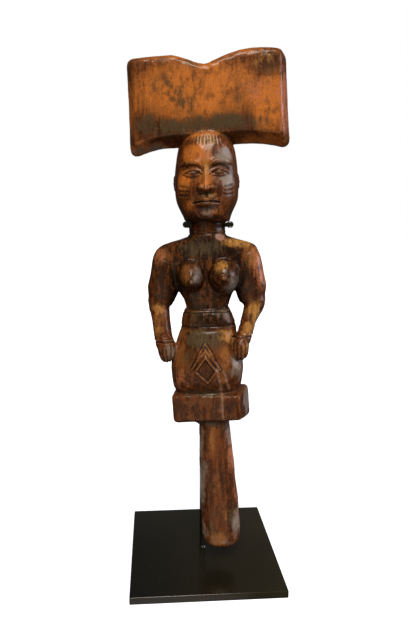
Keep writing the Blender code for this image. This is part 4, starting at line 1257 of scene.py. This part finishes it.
def rod_tree(finish):
    """Geometry nodes that turn a route into a round rod with flat ends."""
    tree = bpy.data.node_groups.new("rod_along_route", "GeometryNodeTree")
    face = tree.interface
    face.new_socket("Route", in_out="INPUT", socket_type="NodeSocketGeometry")
    radius = face.new_socket("Radius", in_out="INPUT", socket_type="NodeSocketFloat")
    sides = face.new_socket("Sides", in_out="INPUT", socket_type="NodeSocketInt")
    face.new_socket("Rod", in_out="OUTPUT", socket_type="NodeSocketGeometry")
    start = add(tree, "NodeGroupInput")
    ring = add(tree, "GeometryNodeCurvePrimitiveCircle", {
        "Radius": start.outputs["Radius"], "Resolution": start.outputs["Sides"],
    })
    sweep = add(tree, "GeometryNodeCurveToMesh", {
        "Curve": start.outputs["Route"], "Profile Curve": ring.outputs["Curve"], "Fill Caps": True,
    })
    smooth = add(tree, "GeometryNodeSetShadeSmooth", {"Geometry": sweep.outputs["Mesh"]})
    real = add(tree, "GeometryNodeRealizeInstances", {"Geometry": smooth.outputs["Geometry"]})
    worn = add(tree, "GeometryNodeSetMaterial", {
        "Geometry": real.outputs["Geometry"], "Material": finish,
    })
    add(tree, "NodeGroupOutput", {"Rod": worn.outputs["Geometry"]})
    return tree, radius.identifier, sides.identifier


def rod_piece(name, route, radius, rod, sides=32):
    """A rod along a smooth route of places in millimetres."""
    tree, radius_socket, sides_socket = rod
    curve = bpy.data.curves.new(name, "CURVE")
    curve.dimensions = "3D"
    spline = curve.splines.new("POLY")
    spline.points.add(len(route) - 1)
    for point, at in zip(spline.points, route):
        point.co = (*(Vector(at) * MM), 1)
    made = new_object(name, curve)
    nodes = made.modifiers.new("Rod", "NODES")
    nodes.node_group = tree
    nodes[radius_socket] = radius * MM
    nodes[sides_socket] = sides
    mesh = applied(made)
    mesh.name = name
    return new_object(name, mesh)


def sweep_rings(name, route, profile, sides, loop=False):
    """A skin of rings round a route. Each profile place is (distance along it, radius)."""
    route = np.array(route, float)
    lengths = np.concatenate([[0], np.cumsum(np.linalg.norm(np.diff(route, axis=0), axis=1))])
    rings = []
    for along, radius in profile:
        middle, ahead, behind = [
            np.array([np.interp(spot, lengths, route[:, axis]) for axis in range(3)])
            for spot in (along, along + 0.4, along - 0.4)
        ]
        run = Vector(ahead - behind).normalized()
        side = run.cross(Vector((0, 0, 1) if abs(run.z) < 0.9 else (1, 0, 0))).normalized()
        up = side.cross(run)
        angle = np.arange(sides) * 2 * math.pi / sides
        ring = np.outer(np.cos(angle), side) + np.outer(np.sin(angle), up)
        rings.append(middle + ring * radius)
    mesh = joined_mesh(name, [closed_form(rings, loop)])
    mesh.shade_smooth()
    return new_object(name, mesh)


def wear(piece, finish, slot, *nodes):
    """Give a piece its material and its body, and hide the solids that it stands for. The slot is not
    used.
    """
    piece.data.materials.clear()
    piece.data.materials.append(finish)
    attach(piece, "root")
    if nodes:
        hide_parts(*nodes)


def build_stand(steel, rubber):
    """The plate, the post and the bent cradle rod, their welds, and the two sleeves."""
    plate = bmesh.new()
    bmesh.ops.create_cube(plate, size=1.0)
    size = (PLATE_SIDE * MM, PLATE_SIDE * MM, PLATE_THICK * MM)
    bmesh.ops.scale(plate, vec=size, verts=plate.verts)
    bmesh.ops.bevel(
        plate, geom=plate.edges[:], offset=PLATE_ROUND * MM, segments=4, profile=0.5, affect="EDGES"
    )
    bmesh.ops.translate(plate, vec=(0, 0, PLATE_THICK / 2 * MM), verts=plate.verts)
    mesh = bpy.data.meshes.new("steel_plate")
    plate.to_mesh(mesh)
    plate.free()
    mesh.shade_smooth()
    mesh.set_sharp_from_angle(angle=math.radians(50))
    wear(new_object("steel_plate", mesh), steel, "black_steel", "base_plate")

    rod = rod_tree(steel)
    height = PLATE_THICK + CRADLE_HEIGHT
    route = between([(x, y, height) for x, y in CRADLE_PLAN], 10)
    cradle = rod_piece("bent_cradle_rod", route, CRADLE_RADIUS, rod)
    wear(cradle, steel, "black_steel", "neck_cradle")
    foot = PLATE_THICK + TOUCH_GAP
    top = height - CRADLE_RADIUS - TOUCH_GAP
    upright = [(0, 0, foot), (0, 0, (foot + top) / 2), (0, 0, top)]
    wear(rod_piece("steel_post", upright, POST_RADIUS, rod, 40), steel, "black_steel", "post")
    at_foot = [(0, 0, PLATE_THICK), (0, 0, PLATE_THICK + 2)]
    wear(sweep_rings("foot_weld", at_foot, FOOT_WELD, 40), steel, "black_steel")
    at_top = [(0.3, -0.9, top - 3), (0.3, -1.1, top + 1)]
    wear(sweep_rings("cradle_weld", at_top, CRADLE_WELD, 32), steel, "black_steel")

    lip = SLEEVE_LIP
    for name, node, path in (("left_sleeve_tube", "left_sleeve", route),
                             ("right_sleeve_tube", "right_sleeve", route[::-1])):
        run = path[:40].copy()
        out = (run[0] - run[1]) / np.linalg.norm(run[0] - run[1])
        run[0] += out * SLEEVE_LAP
        length = sleeve_length(node)
        profile = [
            (0.0, SLEEVE_BORE + lip), (0.0, SLEEVE_RADIUS - lip),
            (lip * 0.3, SLEEVE_RADIUS - lip * 0.3), (lip, SLEEVE_RADIUS),
            (length / 2, SLEEVE_RADIUS), (length - lip, SLEEVE_RADIUS),
            (length, SLEEVE_RADIUS - lip), (length, SLEEVE_BORE), (length / 2, SLEEVE_BORE),
            (0.3, SLEEVE_BORE),
        ]
        wear(sweep_rings(name, run, profile, 36, loop=True), rubber, "black_rubber", node)


def sleeve_length(node):
    """About how long a sleeve is: its solid's reach from front to back."""
    low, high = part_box(node)
    return (high.y - low.y) / MM - 0.6


def aim(obj, target):
    """Turn a lamp towards a place."""
    obj.rotation_euler = (Vector(target) - obj.location).to_track_quat("-Z", "Y").to_euler()


def sun(name, from_direction, strength, angle, colour):
    """A far soft lamp, as a large softbox gives, from a direction."""
    lamp = bpy.data.lights.new(name, "SUN")
    lamp.energy = strength
    lamp.angle = math.radians(angle)
    lamp.color = linear(colour)[:3]
    made = new_object(name, lamp)
    made.location = Vector(from_direction)
    aim(made, (0, 0, 0.2))


def studio():
    """The floor, the lamps, the surroundings and the camera."""
    mesh = bpy.data.meshes.new("pale_floor")
    corners = [(x * FLOOR_REACH, y * FLOOR_REACH, 0) for x, y in ((-1, -1), (1, -1), (1, 1), (-1, 1))]
    mesh.from_pydata(corners, [], [(0, 1, 2, 3)])
    floor = new_object("pale_floor", mesh)
    mesh.materials.append(Finish("pale_card").done({
        "Base Color": linear("eceff6"), "Roughness": 0.9, "Emission Color": linear("f2f5ff"),
        "Emission Strength": 0.75,
    }))
    # The floor is only a white ground: it neither lights the staff nor stops the low front lamp
    floor.visible_diffuse = False
    floor.visible_shadow = False
    floor.visible_glossy = False

    sun("overhead_softbox", (-0.05, -0.75, 1.0), 3.2, 26, "fff3e4")
    sun("window_right", (1.0, -0.25, 0.42), 1.9, 34, "e3ecff")
    sun("front_fill", (-0.4, -1.0, -0.55), 0.55, 60, "fff0de")
    sun("rear_softbox", (0.12, 1.0, 0.62), 0.08, 70, "fff2dc")

    world = bpy.data.worlds.new("studio")
    bpy.context.scene.world = world
    world.use_nodes = True
    tree = world.node_tree
    tree.nodes.clear()
    seen = add(tree, "ShaderNodeLightPath").outputs["Is Camera Ray"]
    dim = add(tree, "ShaderNodeBackground", {"Color": linear("e8eaee"), "Strength": 0.05})
    white = add(tree, "ShaderNodeBackground", {"Color": linear("ffffff"), "Strength": 1.0})
    both = add(tree, "ShaderNodeMixShader", {0: seen, 1: dim.outputs[0], 2: white.outputs[0]})
    add(tree, "ShaderNodeOutputWorld", {"Surface": both.outputs[0]})

    camera = bpy.data.cameras.new("photo_view")
    camera.sensor_fit = "VERTICAL"
    camera.sensor_height = 36.0
    camera.lens = CAMERA_LENS
    camera.shift_x, camera.shift_y = CAMERA_SHIFT
    camera.clip_start = 0.01
    eye = new_object("photo_view", camera)
    eye.location = CAMERA_AT
    eye.rotation_euler = Euler([math.radians(angle) for angle in CAMERA_TURN])
    bpy.context.scene.camera = eye
    bpy.context.scene.view_settings.view_transform = "Standard"


studio()
build_stand(black_steel(), black_rubber())
staff = carve_staff()
wear(staff, oiled_hardwood(), "carved_wood", "carved_staff")
